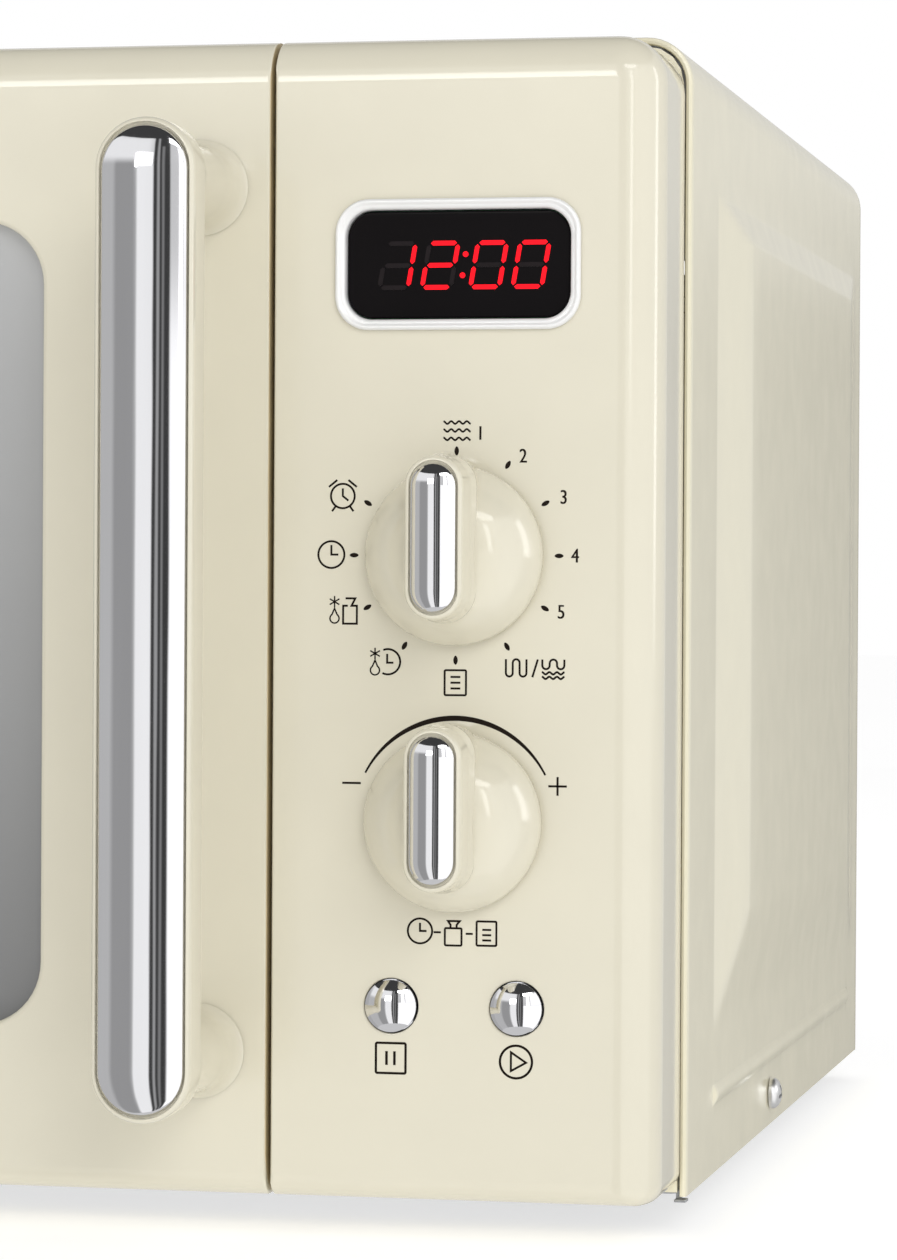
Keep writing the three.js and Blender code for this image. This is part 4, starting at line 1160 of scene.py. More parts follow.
@dataclass
class Column:
    """Control column: moulded fascia with its openings, clock window, knobs, buttons and printed marks."""

    front: Front
    knob_x: float = 173.35
    selector_z: float = 144.7
    adjust_z: float = 89.2
    buttons: tuple[tuple[str, float], ...] = (("pause", 160.0), ("start", 186.7))
    button_z: float = 50.5
    hole: float = 5.75
    cap: float = 5.45
    dome: float = 1.95
    proud: float = 0.75
    wall: float = 2.5

    def fascia(self) -> bpy.types.Object:
        """Cream moulding with a fine parting line round its flank."""
        f, wall = self.front, self.wall
        levels = [*f.edge_levels(), (28.5, 0), (28.6, 0.22), (29, 0.22), (29.1, 0), (f.depth - 0.4, 0),
                  (f.depth, 0.4, 0.4), (f.depth, wall, wall), (9.2, wall, wall), (4.5, wall + 2, wall),
                  (wall, wall + 5, wall + 0.5)]
        opening = (lambda i: rounded(148.1 + i, 198.7 - i, 192.5 + i, 218.3 - i, 6.4 - i, 10),
                   [(0, -0.3), (0.3, 0), (wall, 0)])
        bores = [(lambda i, z=z: ring(self.knob_x, z, 3.7 - i, 32), [(0, -0.2), (0.2, 0), (wall, 0)])
                 for z in (self.selector_z, self.adjust_z)]
        holes = [(lambda i, x=x: ring(x, self.button_z, self.hole - i, 48), [(0, -0.35), (0.12, -0.12),
                                                                             (0.4, 0), (wall, 0)])
                 for _, x in self.buttons]
        shell = Shell()
        shell.slab(f.column, levels, [opening, *bores, *holes])
        made = shell.object("column_fascia")
        self._close_gap(made)
        return smooth(made, 32)

    def _close_gap(self, made: bpy.types.Object) -> None:
        """Lets the flank's rear edge reach back to the cover below, and stand off from it towards the top."""
        points = np.empty(len(made.data.vertices) * 3)
        made.data.vertices.foreach_get("co", points)
        points = points.reshape(-1, 3)
        flank = (points[:, 1] > (self.front.depth - 3.6 + FRONT_Y) * MM) & (points[:, 0] > 0.208)
        reach = np.clip((0.21 - points[:, 2]) / 0.1, 0,
                        1) * 0.78 - 0.35 * np.clip((points[:, 2] - 0.2) / 0.05, 0, 1)
        points[:, 1] += np.where(flank, reach * MM, 0)
        made.data.vertices.foreach_set("co", points.ravel())

    def button(self, name: str, x: float) -> bpy.types.Object:
        """Bright domed push button with its flange and stem."""
        radius = (self.cap ** 2 + self.dome ** 2) / (2 * self.dome)
        r = np.linspace(0, self.cap, 12)
        rise = -self.proud - np.sqrt(radius ** 2 - r ** 2) + radius - self.dome
        profile = [*zip(r, rise, strict=True), (self.cap + 0.02, -self.proud + 0.25),
                   (self.cap - 0.05, 0.3), (5.3, 0.9),
                   (5.3, 2.9), (7.2, 2.9), (7.2, 4.2), (2, 4.2), (2, 14.2), (0, 14.2)]
        shell = Shell()
        shell.turned(profile, Axis.Y, (x, 0, self.button_z), 48)
        return smooth(shell.object(f"{name}_push_button"), 40)

    def gap_shade_ring(self, name: str, x: float) -> bpy.types.Object:
        """Black ring lining a button's hole: painted shade of the gap round the button."""
        shell = Shell()
        outer, inner = self.hole - 0.02, 5.56
        shell.turned([(inner, 1.0), (outer, 1.0), (outer, 2.4), (inner, 2.4), (inner, 1.0)], Axis.Y,
                     (x, 0, self.button_z), 48)
        return smooth(shell.object(f"{name}_hole_painted_shade_ring"), 40)

    def selector_marks(self, marks: Marks) -> None:
        """Level numbers and programme symbols round the upper knob, with a tick every thirty degrees."""
        x, z = self.knob_x, self.selector_z
        for step in range(11):
            angle = 90 - 30 * step
            turn = math.radians(angle)
            marks.leaf(x + 21.8 * math.cos(turn), z + 21.8 * math.sin(turn), angle)
        for height in (27.7, 26.05, 24.3):
            marks.wave(x - 2.85, x + 2.95, z + height, periods=3.5, weight=0.4)
        for text, across, base in (("1", 4.1, 24.1), ("2", 13.2, 19.35), ("3", 21.8, 10.8),
                                   ("4", 24.3, -1.35), ("5", 21.4, -13.0)):
            marks.write(text, x + across, z + base)
        self._grill_mark(marks, x, z)
        marks.frame(x - 2.3, x + 2.25, z - 29.1, z - 23.9)
        for line in (-25.3, -26.5, -27.7):
            marks.stroke([(x - 1.05, z + line), (x + 1.05, z + line)])
        self.thaw_mark(marks, x - 17.2, z - 20.55)
        marks.arc(x - 14.45, z - 22.25, 2.64, 112, -116)
        marks.stroke([(x - 14.6, z - 20.6), (x - 14.6, z - 22.45), (x - 13.25, z - 22.45)])
        self.thaw_mark(marks, x - 25.95, z - 9.77)
        marks.stroke([(x - 23.1, z - 10.6), (x - 24.1, z - 10.6), (x - 24.1, z - 14.35),
                      (x - 21.15, z - 14.35),
                      (x - 21.15, z - 10.6), (x - 22.3, z - 10.6), (x - 21.5, z - 9.05),
                      (x - 23.6, z - 9.05)])
        self.clock(marks, x - 26.7, z + 0.1, 2.8, 2, 1.5)
        self._alarm_mark(marks, x - 24.3, z + 12.37)

    def _grill_mark(self, marks: Marks, x: float, z: float) -> None:
        """Two heating hairpins parted by a slash, the second over two waves."""
        self.hairpin(marks, x + 10.7 + 1.45 * np.arange(4), z - 21.5, z - 25.1)
        marks.stroke([(x + 16.3, z - 25.2), (x + 17.45, z - 21.5)])
        self.hairpin(marks, x + 18.4 + 1.55 * np.arange(4), z - 21.5, z - 23.5)
        for height in (-24.35, -25.3):
            marks.wave(x + 18.3, x + 23.1, z + height, 0.24, 3.0)

    @staticmethod
    def hairpin(marks: Marks, lines: np.ndarray, top: float, low: float) -> None:
        """Upright lines joined alternately below and above by half circles, both ends open at the top."""
        bend = (lines[1] - lines[0]) / 2
        turn = np.linspace(0, np.pi, 9)
        path = [np.array([[lines[0], top]])]
        for k, x in enumerate(lines[:-1]):
            side, level = (1, low + bend) if k % 2 == 0 else (-1, top - bend)
            path.append(np.stack([x + bend * (1 - np.cos(turn)), level - side * bend * np.sin(turn)], 1))
        marks.stroke(np.vstack([*path, [[lines[-1], top]]]))

    def thaw_mark(self, marks: Marks, x: float, z: float) -> None:
        """A six-armed star over a drop."""
        for angle in (90, 30, -30):
            reach = np.array([math.cos(math.radians(angle)), math.sin(math.radians(angle))]) * 1.2
            marks.stroke([(x - reach[0], z - reach[1]), (x + reach[0], z + reach[1])], 0.3)
        turn = np.radians(np.linspace(125, 415, 21))
        drop = np.stack([x + 0.98 * np.cos(turn), z - 3.5 + 0.98 * np.sin(turn)], 1)
        marks.stroke(np.vstack([drop, [(x, z - 1.4)]]), 0.32, closed=True)

    @staticmethod
    def clock(marks: Marks, x: float, z: float, radius: float, up: float, right: float) -> None:
        """A clock face with two hands."""
        marks.arc(x, z, radius)
        marks.stroke([(x, z + up), (x, z), (x + right, z)])

    def _alarm_mark(self, marks: Marks, x: float, z: float) -> None:
        """A ringing clock: face, hands, bells and legs."""
        marks.arc(x, z, 2.55)
        marks.stroke([(x, z + 1.6), (x, z), (x + 1.2, z - 0.95)])
        for side in (-1, 1):
            marks.stroke([(x + side * 1.2, z + 3.35), (x + side * 3.0, z + 1.9)])
            marks.stroke([(x + side * 1.5, z - 2.1), (x + side * 2.3, z - 3.2)])

    def adjust_marks(self, marks: Marks) -> None:
        """Swelling arc with minus and plus, and clock, weight and list symbols under the lower knob."""
        x, z = self.knob_x, self.adjust_z
        turn = np.radians(np.linspace(152.5, 27.5, 61))
        swell = 0.4 + 0.7 * np.sin(np.linspace(0, np.pi, 61)) ** 1.2
        marks.stroke(np.stack([x + 21.6 * np.cos(turn), z + 21.6 * np.sin(turn)], 1), swell)
        marks.stroke([(x - 24.1, z + 7.8), (x - 20.1, z + 7.8)], 0.45)
        marks.stroke([(x + 19.81, z + 7.7), (x + 23.71, z + 7.7)], 0.45)
        marks.stroke([(x + 21.76, z + 5.75), (x + 21.76, z + 9.65)], 0.45)
        self.clock(marks, x - 7.26, z - 22.9, 2.6, 1.7, 1.4)
        marks.stroke([(x - 4.35, z - 23.1), (x - 2.8, z - 23.1)])
        marks.frame(x - 1.95, x + 1.6, z - 25.8, z - 22.2)
        marks.stroke([(x - 0.75, z - 22.2), (x - 0.75, z - 21.5), (x - 1.3, z - 20.7), (x + 1.2, z - 20.7),
                      (x + 0.55, z - 21.5), (x + 0.55, z - 22.2)])
        marks.stroke([(x + 2.5, z - 23.3), (x + 4.0, z - 23.3)])
        marks.frame(x + 4.8, x + 9.0, z - 25.7, z - 20.66)
        for line in (-22.4, -23.5, -24.6):
            marks.stroke([(x + 6.0, z + line), (x + 7.9, z + line)])

    @staticmethod
    def button_marks(marks: Marks) -> None:
        """Square with two bars and circle with an arrowhead under the push buttons."""
        marks.frame(156.8, 163.15, 36.4, 42.7, 0.3, 0.5)
        for x in (159.07, 160.77):
            marks.stroke([(x, 38.1), (x, 41.0)], 0.55)
        marks.arc(186.65, 39.45, 3.4, weight=0.5)
        marks.stroke([(185.58, 41.45), (185.58, 37.55), (188.78, 39.35)], 0.45, closed=True)

    def build(self) -> None:
        """Makes the column with everything on it."""
        fit(self.fascia(), CREAM, "case", ["control_fascia"])
        Display().build()
        Knob("selector", "selector", "selector", self.selector_z).build()
        Knob("adjuster", "adjuster", "adjust", self.adjust_z).build()
        for name, x in self.buttons:
            fit(self.button(name, x), CHROME, name, [f"{name}_button"])
            # Black ring in each button hole: painted shade of the gap round the button.
            fit(self.gap_shade_ring(name, x), BLACK, "case")
        marks = Marks()
        self.selector_marks(marks)
        self.adjust_marks(marks)
        self.button_marks(marks)
        fit(marks.object("column_marks"), INK, "case")


# ---- case details ----
@dataclass
class Underside:
    """Folded floor pan, rear panel, feet, cable gland and the small lip under the cover's front corner."""

    foot_x: float = 180.0
    foot_y: tuple[float, float] = (100.0, 318.0)

    @staticmethod
    def pan() -> bpy.types.Object:
        """Floor pan with a turned-up rim, a rounded fold and nine air slots."""
        slots = [(lambda i, x=x: rounded(x, x + 4, 120, 170, 1.9, 4), [(8, 0), (9, 0)]) for x in range(120,
                                                                                                       193,
                                                                                                       9)]
        levels = [(8, 1.2), (8.3, 0.4), (9, 0), (21.7, 0), (22, 0.3), (22, 0.7), (21.7, 1), (10, 1),
                  (9.3, 1.3), (9, 2)]
        shell = Shell()
        shell.slab(lambda i: rounded(-216.2 + i, 216.2 - i, 36 + i, 347.4 - i, 2.4, 4), levels, slots,
                   Plane.PLAN)
        return smooth(shell.object("floor_pan"), 35)

    @staticmethod
    def lip() -> bpy.types.Object:
        """Turned end of the pan that shows under the cover's front corner."""
        shell = Shell()
        shell.block((214.8, 33.3, 6.7), (217.4, 37, 7.3), 0.15)
        shell.block((214.8, 36.2, 6.7), (216.1, 37, 9), 0.15)
        return smooth(shell.object("floor_pan_lip"), 35)

    @staticmethod
    def back() -> bpy.types.Object:
        """Rear panel with two groups of rounded air slots, screw holes and the gland's hole."""
        def slot(x0: float, x1: float, z: float) -> tuple[Outline, Levels]:
            return (lambda i: rounded(x0 - i, x1 + i, z - i, z + 4 + i, 1.9 + i, 5)), [(347.7, 0), (348.4, 0),
                                                                                       (348.7, 0.3)]

        holes = [slot(130, 198, 164 + 8 * k) for k in range(9)] + [slot(-150, -90,
                                                                        190 + 8 * k) for k in range(6)]
        holes += [(lambda i, c=c: ring(*c, 24), [(347.7, 0), (348.7, 0)])
                  for c in ((150, 32, 9.6), (-150, 248, 2.1), (150, 248, 2.1))]
        shell = Shell()
        shell.slab(lambda i: rounded(-216.2 + i, 216.2 - i, 9.3 + i, 254.7 - i, (1, 8, 8, 1), 8),
                   [(347.7, 0), (348.4, 0), (348.7, 0.3)], holes)
        return smooth(shell.object("rear_sheet"), 35)

    def foot(self, name: str, x: float, y: float) -> bpy.types.Object:
        """Ribbed rubber foot with a hollow sole."""
        profile = [(0, 2.2), (6, 2.2), (6.6, 1.6), (7.2, 0.3), (7.8, 0), (12.4, 0), (13.4, 0.4),
                   (14.1, 1.3), (14.4, 2.6),
                   (14.1, 2.9), (14.1, 3.2), (14.6, 3.5), (15, 5.4), (15, 6.9), (14.6, 7.6), (14, 7.7),
                   (0, 7.7)]
        shell = Shell()
        shell.turned(profile, Axis.Z, (x, y, 0), 48)
        return smooth(shell.object(name), 40)

    @staticmethod
    def gland() -> bpy.types.Object:
        """Stepped plastic bush in the rear panel, with no cord in it."""
        profile = [(5, 344), (9, 344), (9, 349.4), (12.6, 349.5), (13, 349.9), (12.9, 351.2), (12.2, 352),
                   (10.2, 352.6),
                   (10.2, 353.3), (9.4, 353.5), (9.4, 354.4), (8.8, 354.6), (8.6, 355.9), (8, 356.4),
                   (5.6, 356.4), (5, 355.9), (5, 344)]
        shell = Shell()
        shell.turned(profile, Axis.Y, (150, 0, 32), 48)
        return smooth(shell.object("cord_bush"), 40)

    def build(self) -> None:
        """Makes the pieces under and behind the case."""
        fit(self.pan(), ZINC, "case", ["base_plate"])
        fit(self.lip(), ZINC, "case")
        fit(self.back(), ZINC, "case", ["rear_panel"])
        for end, y in zip(("front", "rear"), self.foot_y, strict=True):
            for side, x in (("left", -self.foot_x), ("right", self.foot_x)):
                fit(self.foot(f"ribbed_foot_{end}_{side}", x, y), RUBBER, "case",
                    [f"foot_{end}_{side}"])
        fit(self.gland(), BLACK, "case", ["cord_gland"])


# ---- oven chamber ----
@dataclass
class Chamber:
    """Enamelled chamber with its openings, heating tube, lamp and everything that turns on its floor."""

    x0: float = -201.0
    x1: float = 105.0
    z0: float = 28.0
    z1: float = 232.0
    front: float = 34.5
    rear: float = 334.0
    corner: float = 10.0
    centre: tuple[float, float] = (-48.0, 184.0)
    axle: float = 35.3
    track: float = 95.0

    def box(self) -> bpy.types.Object:
        """Chamber drawn in one piece, rounded where its walls meet the back, with its openings cut out."""
        levels = [(self.rear, 9), (self.rear - 0.7, 5.6), (self.rear - 2.4, 2.6), (self.rear - 5, 0.7),
                  (self.rear - 8, 0), (180, 0), (self.front + 0.4, 0), (self.front, -0.4), (self.front, -1),
                  (180, -1), (self.rear - 8, -1), (self.rear - 4.5, -0.2), (self.rear - 1.5, 2),
                  (self.rear + 0.4, 5.4), (self.rear + 1, 9)]
        shell = Shell()
        shell.slab(lambda i: rounded(self.x0 + i, self.x1 - i, self.z0 + i, self.z1 - i,
                                     max(self.corner - i * 0.4, 1), 8),
                   levels)
        made = shell.object("enamelled_chamber")
        window, lamp, tube, drive = Shell(), Shell(), Shell(), Shell()
        window.block((100, 205, 145), (110, 275, 195), 3)
        tube.block((100, 71, 217), (110, 89, 227), 2)
        lamp.turned([(0, 100), (9, 100), (9, 110), (0, 110)], Axis.X, (0, 300, 205), 32)
        drive.turned([(0, 20), (7, 20), (7, 36), (0, 36)], Axis.Z, (*self.centre, 0), 32)
        grille = Shell()
        for k in range(40):
            grille.turned([(0, 100), (1.7, 100), (1.7, 110), (0, 110)], Axis.X,
                          (0, 60 + 6 * (k % 8) + 3 * (k // 8 % 2), 120 + 5.2 * (k // 8)), 8)
        return smooth(carve(made, *(c.object("cutter") for c in (window, tube, lamp, drive, grille))), 35)

    @staticmethod
    def tube() -> bpy.types.Object:
        """Sheathed heating tube: the corners of its path are cut twice and more until they run round."""
        path = np.array([[112, 75], [60, 75], [-150, 75], [-172, 92], [-172, 276], [-150, 293], [60, 293],
                         [82, 276], [82, 102], [90, 85], [112, 85]], float)
        for _ in range(3):
            cut = np.stack([0.75 * path[:-1] + 0.25 * path[1:], 0.25 * path[:-1] + 0.75 * path[1:]],
                           1).reshape(-1, 2)
            path = np.vstack([path[:1], cut, path[-1:]])
        shell = Shell()
        shell.swept(np.column_stack([path, np.full(len(path), 222.0)]), ring(0, 0, 3, 14))
        return smooth(shell.object("heating_tube"), 50)

    @staticmethod
    def lamp() -> bpy.types.Object:
        """Small glass bulb on a brass cap, lying in the chamber's right wall."""
        angle = np.radians(np.linspace(90, 8, 8))
        dome = [(8 * math.cos(a), 112.5 - 4.5 * math.sin(a)) for a in angle]
        shell = Shell()
        shell.turned([(0, 108), *dome[1:], (8, 114), (7.2, 117), (6.5, 120), (6.5, 130), (9, 131),
                      (9, 141.4), (8.5, 142), (0, 142)], Axis.X, (0, 300, 205), 36)
        return smooth(shell.object("lamp_bulb"), 40)

    def tray(self) -> bpy.types.Object:
        """Dished glass tray with a rolled rim, two raised rings beneath and three driving lugs."""
        top = [(0, 46.6), (100, 46.6), (105, 46.8), (110, 47.9), (116, 50.2), (121, 52.3), (123.6, 54.2),
               (125.2, 55.5),
               (126.4, 55.6), (127.3, 54.9), (127.5, 53.6), (126.9, 52.1), (124.6, 49.8), (121, 47.7),
               (114, 44.9), (110.5, 43.4), (107, 42.7), (104, 42.6)]
        rings = [(74, 42.6), (73, 42.2), (71, 42.2), (70, 42.6), (50, 42.6), (49, 42.2), (47, 42.2),
                 (46, 42.6), (0, 42.6)]
        shell = Shell()
        shell.turned(top + rings, Axis.Z, (*self.centre, 0), 96)
        for angle in (60, 180, 300):
            start = len(shell.points)
            shell.block((6, -3.2, 40.4), (15, 3.2, 43.2), 0.5)
            shell.block((10.5, -3.2, 36.5), (15, 3.2, 41), 0.5)
            shell.turn(start, Matrix.Translation((*self.centre, 0)) @ Matrix.Rotation(math.radians(angle),
                                                                                      4, "Z"))
        return smooth(shell.object("dished_tray"), 40)

    def carrier(self) -> bpy.types.Object:
        """Plastic ring with three axles."""
        section = [(76, 34), (76.6, 33.2), (81, 33), (85.4, 33.2), (86, 34), (86, 36.8), (85.4, 37.4),
                   (83, 37.6), (82.4, 36.9), (79.6, 36.9), (79, 37.6), (76.6, 37.4), (76, 36.8), (76, 34)]
        shell = Shell()
        shell.turned(section, Axis.Z, (*self.centre, 0), 96)
        for angle in (0, 120, 240):
            start = len(shell.points)
            shell.turned([(0, 84), (2, 84), (2, 99.2), (2.35, 99.6), (2.2, 100.2), (1.6, 100.5),
                          (0, 100.5)], Axis.X,
                         (0, 0, self.axle), 20)
            shell.turn(start, Matrix.Translation((*self.centre, 0)) @ Matrix.Rotation(math.radians(angle),
                                                                                      4, "Z"))
        return smooth(shell.object("roller_carrier"), 40)

    def wheel(self, name: str, angle: float) -> bpy.types.Object:
        """Grooved roller on the carrier's axle."""
        t = self.track
        tyre = [(2.4, t - 4), (5.9, t - 4), (6.5, t - 3.7), (7, t - 3), (7, t - 0.8), (6.6, t - 0.4),
                (6.6, t + 0.4),
                (7, t + 0.8), (7, t + 3), (6.5, t + 3.7), (5.9, t + 4), (2.4, t + 4), (2.4, t - 4)]
        shell = Shell()
        shell.turned(tyre, Axis.X, (0, 0, self.axle), 32)
        shell.turn(0, Matrix.Translation((*self.centre, 0)) @ Matrix.Rotation(math.radians(angle), 4, "Z"))
        return smooth(shell.object(name), 40)

    def coupler(self) -> bpy.types.Object:
        """Three-lobed driver on a round stem."""
        angle = np.linspace(0, 2 * np.pi, 96, endpoint=False)
        lobe = 9 + 4 * np.clip(np.cos(3 * angle), 0, 1) ** 1.6

        def outline(inset: float) -> np.ndarray:
            return np.stack([self.centre[0] + (lobe - inset) * np.cos(angle),
                             self.centre[1] + (lobe - inset) * np.sin(angle)], 1)

        shell = Shell()
        shell.slab(outline, [(30, 0.8), (30.3, 0.2), (31, 0), (38.6, 0), (39.6, 0.3), (40, 1.1)],
                   plane=Plane.PLAN)
        shell.turned([(0, 16.5), (3.2, 16.5), (3.5, 16.9), (3.5, 30.4), (0, 30.4)], Axis.Z,
                     (*self.centre, 0), 32)
        shell.turned([(0, 28.6), (8.6, 28.6), (9, 29), (9, 30.6), (0, 30.6)], Axis.Z, (*self.centre, 0), 40)
        return smooth(shell.object("lobed_coupler"), 40)

    def build(self) -> None:
        """Makes the chamber and what is in it."""
        fit(self.box(), ENAMEL, "case", ["cavity_box"])
        fit(self.tube(), SATIN, "case", ["grill_element"])
        fit(self.lamp(), CLEAR, "case", ["oven_lamp"])
        fit(self.tray(), CLEAR, "tray", ["glass_tray"])
        fit(self.carrier(), NATURAL, "ring", ["roller_ring"])
        for k, letter in enumerate("abc"):
            fit(self.wheel(f"grooved_roller_{letter}", 120 * k), NATURAL, f"roller_{letter}",
                [f"roller_{k + 1}"])
        fit(self.coupler(), NATURAL, "coupler", ["drive_coupler"])


# ---- everything carried over from the CAD ----
@dataclass(frozen=True)
class Dress:
    """How a carried-over solid is refined: its finish, body, slot (not used), and the width of its bevelled
    edges.
    """

    node: str
    finish: Finish
    slot: str
    body: str = "case"
    bevel: float = 0.5

    def build(self) -> bpy.types.Object:
        """Copies the solid, merges its loose triangles, joins flat ones, and rounds its edges."""
        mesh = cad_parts[self.node].data.copy()
        made = bpy.data.objects.new(self.node + "_detailed", mesh)
        bpy.context.scene.collection.objects.link(made)
        work = bmesh.new()
        work.from_mesh(mesh)
        bmesh.ops.remove_doubles(work, verts=work.verts, dist=1e-5)
        bmesh.ops.dissolve_limit(work, angle_limit=math.radians(1), verts=work.verts, edges=work.edges)
        bmesh.ops.recalc_face_normals(work, faces=work.faces)
        work.to_mesh(mesh)
        work.free()
        smooth(made, 35, self.bevel)
        return fit(made, self.finish, self.body, [self.node])


CARRIED = (
    Dress("front_plate", POWDER, "cream_cover", bevel=0.3), Dress("upper_hinge", ZINC, "galvanised_steel"),
    Dress("lower_hinge", ZINC, "galvanised_steel"), Dress("waveguide_cover", MICA, "mica", bevel=0.15),
    Dress("turntable_motor", ZINC, "galvanised_steel"), Dress("magnetron", SATIN, "galvanised_steel",
                                                              bevel=0.2),
    Dress("waveguide", ZINC, "galvanised_steel"), Dress("transformer", COPPER, "winding_copper"),
    Dress("hv_capacitor", SATIN, "satin_metal"), Dress("fan_shroud", NATURAL, "white_plastic"),
    Dress("fan_motor", ZINC, "galvanised_steel"), Dress("fan_blade", BLACK, "black_plastic", "fan", 0.2),
    Dress("interlock_bracket", NATURAL, "white_plastic"), Dress("primary_switch", BLACK, "black_plastic"),
    Dress("monitor_switch", BLACK, "black_plastic"), Dress("control_board", BOARD, "circuit_board",
                                                           bevel=0.3),
    Dress("selector_encoder", SATIN, "satin_metal"), Dress("adjust_encoder", SATIN, "satin_metal"),
    Dress("pause_switch", BLACK, "black_plastic"), Dress("start_switch", BLACK, "black_plastic"),
    Dress("latch_spring", SATIN, "satin_metal", "door", 0.0),
)


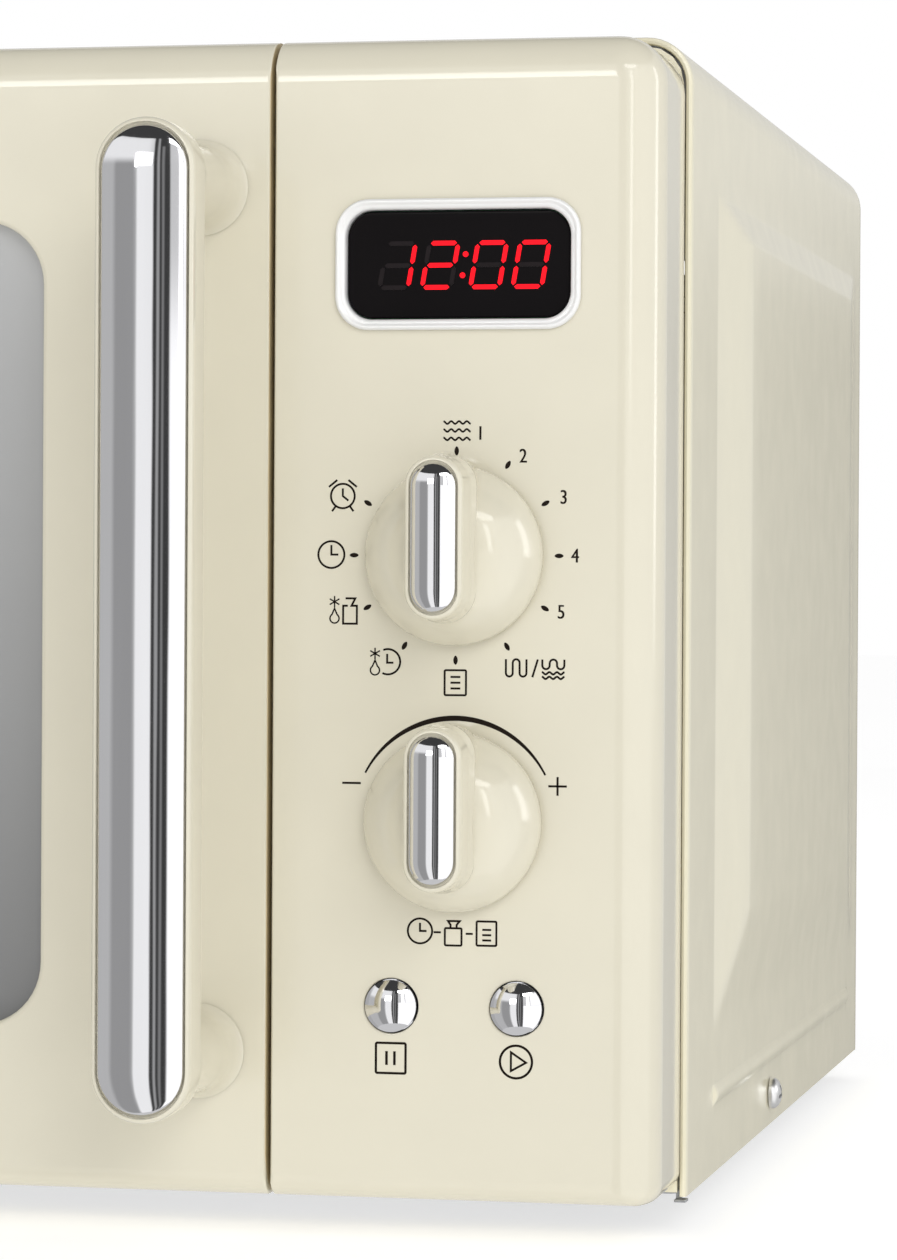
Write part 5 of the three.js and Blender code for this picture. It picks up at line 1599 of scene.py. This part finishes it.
# ---- studio ----
@dataclass
class Studio:
    """Pale floor, white surroundings, a soft lamp, panels for the bright parts to reflect, and the camera."""

    ambient: float = 0.62
    distance: float = 2600.0
    panels: tuple[tuple[str, tuple[float, float], tuple[float, float], float, float], ...] = (
        ("far left", (-135, -74), (-60, 50), 8, 0.44), ("left", (-74, -46), (-60, 50), 10, 0.50),
        ("shaded left", (-46, -19), (-60, 50), 8, 0.33), ("left box", (-75, -2), (16, 40), 9, 0.9),
        ("top box", (-20, -2), (9, 23), 2, 6.5), ("middle", (-18, 0), (-60, 11), 3, 0.95),
        ("dark", (0, 18), (-60, 50), 2, 0.05), ("streak", (4, 7), (-60, 40), 2, 0.35),
        ("edge", (10, 12.5), (-60, 30), 2, 0.22),
        ("right", (19, 95), (-60, 5), 2, 1.2), ("upper right", (39, 95), (5, 36), 3, 1.2),
        ("right box", (28.5, 35), (4, 28), 3, 3.8), ("side box", (97, 106), (0, 30), 4, 4.0),
        ("behind", (166, 202), (-60, 6), 4, 0.3),
    )

    def floor(self) -> bpy.types.Object:
        """Wide pale floor under the feet."""
        shell = Shell()
        rows = shell.add(np.stack(np.meshgrid([-9000.0, 9000.0], [-9000.0, 9000.0],
                                              indexing="ij") + [np.zeros((2, 2))], -1))
        shell.quads(rows, round_v=False)
        made = shell.object("floor")
        made.data.materials.append(FLOOR.material())
        made.visible_glossy = False
        return made

    def surround(self) -> None:
        """Wall round the oven, seen only in reflections, with bright and dark panels that have soft edges.

        Each panel is laid over those before it: its span round the oven in degrees from the middle of the
        front, positive to the right, its span in elevation, the width of its soft edge and its strength.
        """
        bearing, level = np.meshgrid(np.linspace(-180, 179.5, 720), np.linspace(-54, 39, 125), indexing="ij")
        glow = np.full(bearing.shape, self.ambient)
        for _, (start, end), (low, high), soft, strength in self.panels:
            share = np.ones(bearing.shape)
            for reach in (bearing - start, end - bearing, level - low, high - level):
                edge = np.clip(reach / soft + 0.5, 0, 1)
                share *= edge * edge * (3 - 2 * edge)
            glow = glow * (1 - share) + strength * share
        turn = np.radians(bearing)
        points = np.stack([self.distance * np.sin(turn), -self.distance * np.cos(turn),
                           130 + self.distance * np.tan(np.radians(level))], -1)
        shell = Shell()
        shell.quads(shell.add(points), round_u=True, round_v=False)
        made = shell.object("surround")
        made.data.attributes.new("glow", "FLOAT", "POINT").data.foreach_set("value",
                                                                            glow.astype(np.float32).ravel())
        self._reflected(made, "glow")

    def ceiling(self, height: float = 2200.0, half: float = 2800.0) -> None:
        """Dark panel overhead, seen only in reflections."""
        shell = Shell()
        corners = np.stack(np.meshgrid([-half, half], [-half, half], indexing="ij") + [np.full((2, 2),
                                                                                               height)], -1)
        shell.quads(shell.add(corners), round_v=False)
        self._reflected(shell.object("dark_ceiling"), 0.05)

    @staticmethod
    def _reflected(made: bpy.types.Object, strength: float | str) -> None:
        """Makes a panel glow and hides it from everything but reflections.

        Args:
            made: the panel.
            strength: its light, or the name of the attribute that holds it point by point.
        """
        tone = bpy.data.materials.new(made.name)
        tone.use_nodes = True
        tree = tone.node_tree
        tree.nodes.clear()
        light, out = tree.nodes.new("ShaderNodeEmission"), tree.nodes.new("ShaderNodeOutputMaterial")
        light.inputs["Color"].default_value = (1, 1, 1, 1)
        if isinstance(strength, str):
            held = tree.nodes.new("ShaderNodeAttribute")
            held.attribute_name = strength
            tree.links.new(held.outputs["Fac"], light.inputs["Strength"])
        else:
            light.inputs["Strength"].default_value = strength
        tree.links.new(light.outputs["Emission"], out.inputs["Surface"])
        made.data.materials.append(tone)
        made.visible_camera = made.visible_shadow = made.visible_diffuse = made.visible_transmission = False

    def lamp(self, name: str, spot: Sequence[float], size: float, power: float) -> None:
        """Square soft lamp aimed at the middle of the oven."""
        light = bpy.data.lights.new(name, "AREA")
        light.size, light.energy = size, power
        made = bpy.data.objects.new(name, light)
        made.location = spot
        aim = Vector((0, 0, 0.13)) - Vector(spot)
        made.rotation_euler = aim.to_track_quat("-Z", "Y").to_euler()
        bpy.context.scene.collection.objects.link(made)

    def camera(self) -> None:
        """Long-lens camera a little right of the oven and level with its middle."""
        anchor = Vector(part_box("control_fascia")[0])
        yaw, pitch, roll = 0.20612762, -0.00861315, 0.00556446
        ahead = Vector((-math.sin(yaw) * math.cos(pitch), math.cos(yaw) * math.cos(pitch), math.sin(pitch)))
        flat = Vector((math.cos(yaw), math.sin(yaw), 0))
        over = flat.cross(ahead)
        right = flat * math.cos(roll) + over * math.sin(roll)
        up = over * math.cos(roll) - flat * math.sin(roll)
        lens = bpy.data.cameras.new("camera")
        lens.lens, lens.sensor_width, lens.sensor_fit = 126.26, 36, "AUTO"
        lens.clip_start, lens.clip_end = 0.05, 60
        made = bpy.data.objects.new("camera", lens)
        turn = Matrix((right, up, -ahead)).transposed()
        made.matrix_world = Matrix.Translation(anchor + Vector((0.22632, -0.90152, 0.12751))) @ turn.to_4x4()
        bpy.context.scene.collection.objects.link(made)
        bpy.context.scene.camera = made

    def world(self) -> None:
        """White surroundings."""
        world = bpy.data.worlds.new("studio")
        world.use_nodes = True
        tree = world.node_tree
        background = tree.nodes["Background"]
        background.inputs["Color"].default_value = (1, 1, 1, 1)
        path, level = tree.nodes.new("ShaderNodeLightPath"), tree.nodes.new("ShaderNodeMapRange")
        level.inputs["To Min"].default_value, level.inputs["To Max"].default_value = self.ambient, 1.0
        tree.links.new(path.outputs["Is Camera Ray"], level.inputs["Value"])
        tree.links.new(level.outputs["Result"], background.inputs["Strength"])
        bpy.context.scene.world = world
        bpy.context.scene.view_settings.view_transform = "Standard"

    def build(self) -> None:
        """Makes the studio."""
        self.world()
        self.floor()
        self.camera()
        self.lamp("key", (1.5, -2.4, 1.5), 1.5, 25)
        self.surround()
        self.ceiling()


def main() -> None:
    """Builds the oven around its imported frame, then its studio."""
    logging.basicConfig(level=logging.INFO, format="%(message)s")
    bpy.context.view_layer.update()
    front = Front()
    fit(Cover().build(), POWDER, "case", ["outer_cover"])
    for name, spot, outward in (("cover_screw_left", (-217.5, 165.8, 15.7), (-1, 0, 0)),
                                ("cover_screw_right", (217.5, 165.8, 15.7), (1, 0, 0)),
                                ("rear_screw_left", (-150, 350, 248), (0, 1, 0)),
                                ("rear_screw_right", (150, 350, 248), (0, 1, 0))):
        fit(Screw().build(name + "_recessed", spot, outward), SATIN, "case", [name])
    Door(front).build()
    Handle().build()
    Column(front).build()
    Underside().build()
    Chamber().build()
    for dress in CARRIED:
        dress.build()
    Studio().build()


if __name__ == "__main__":
    main()
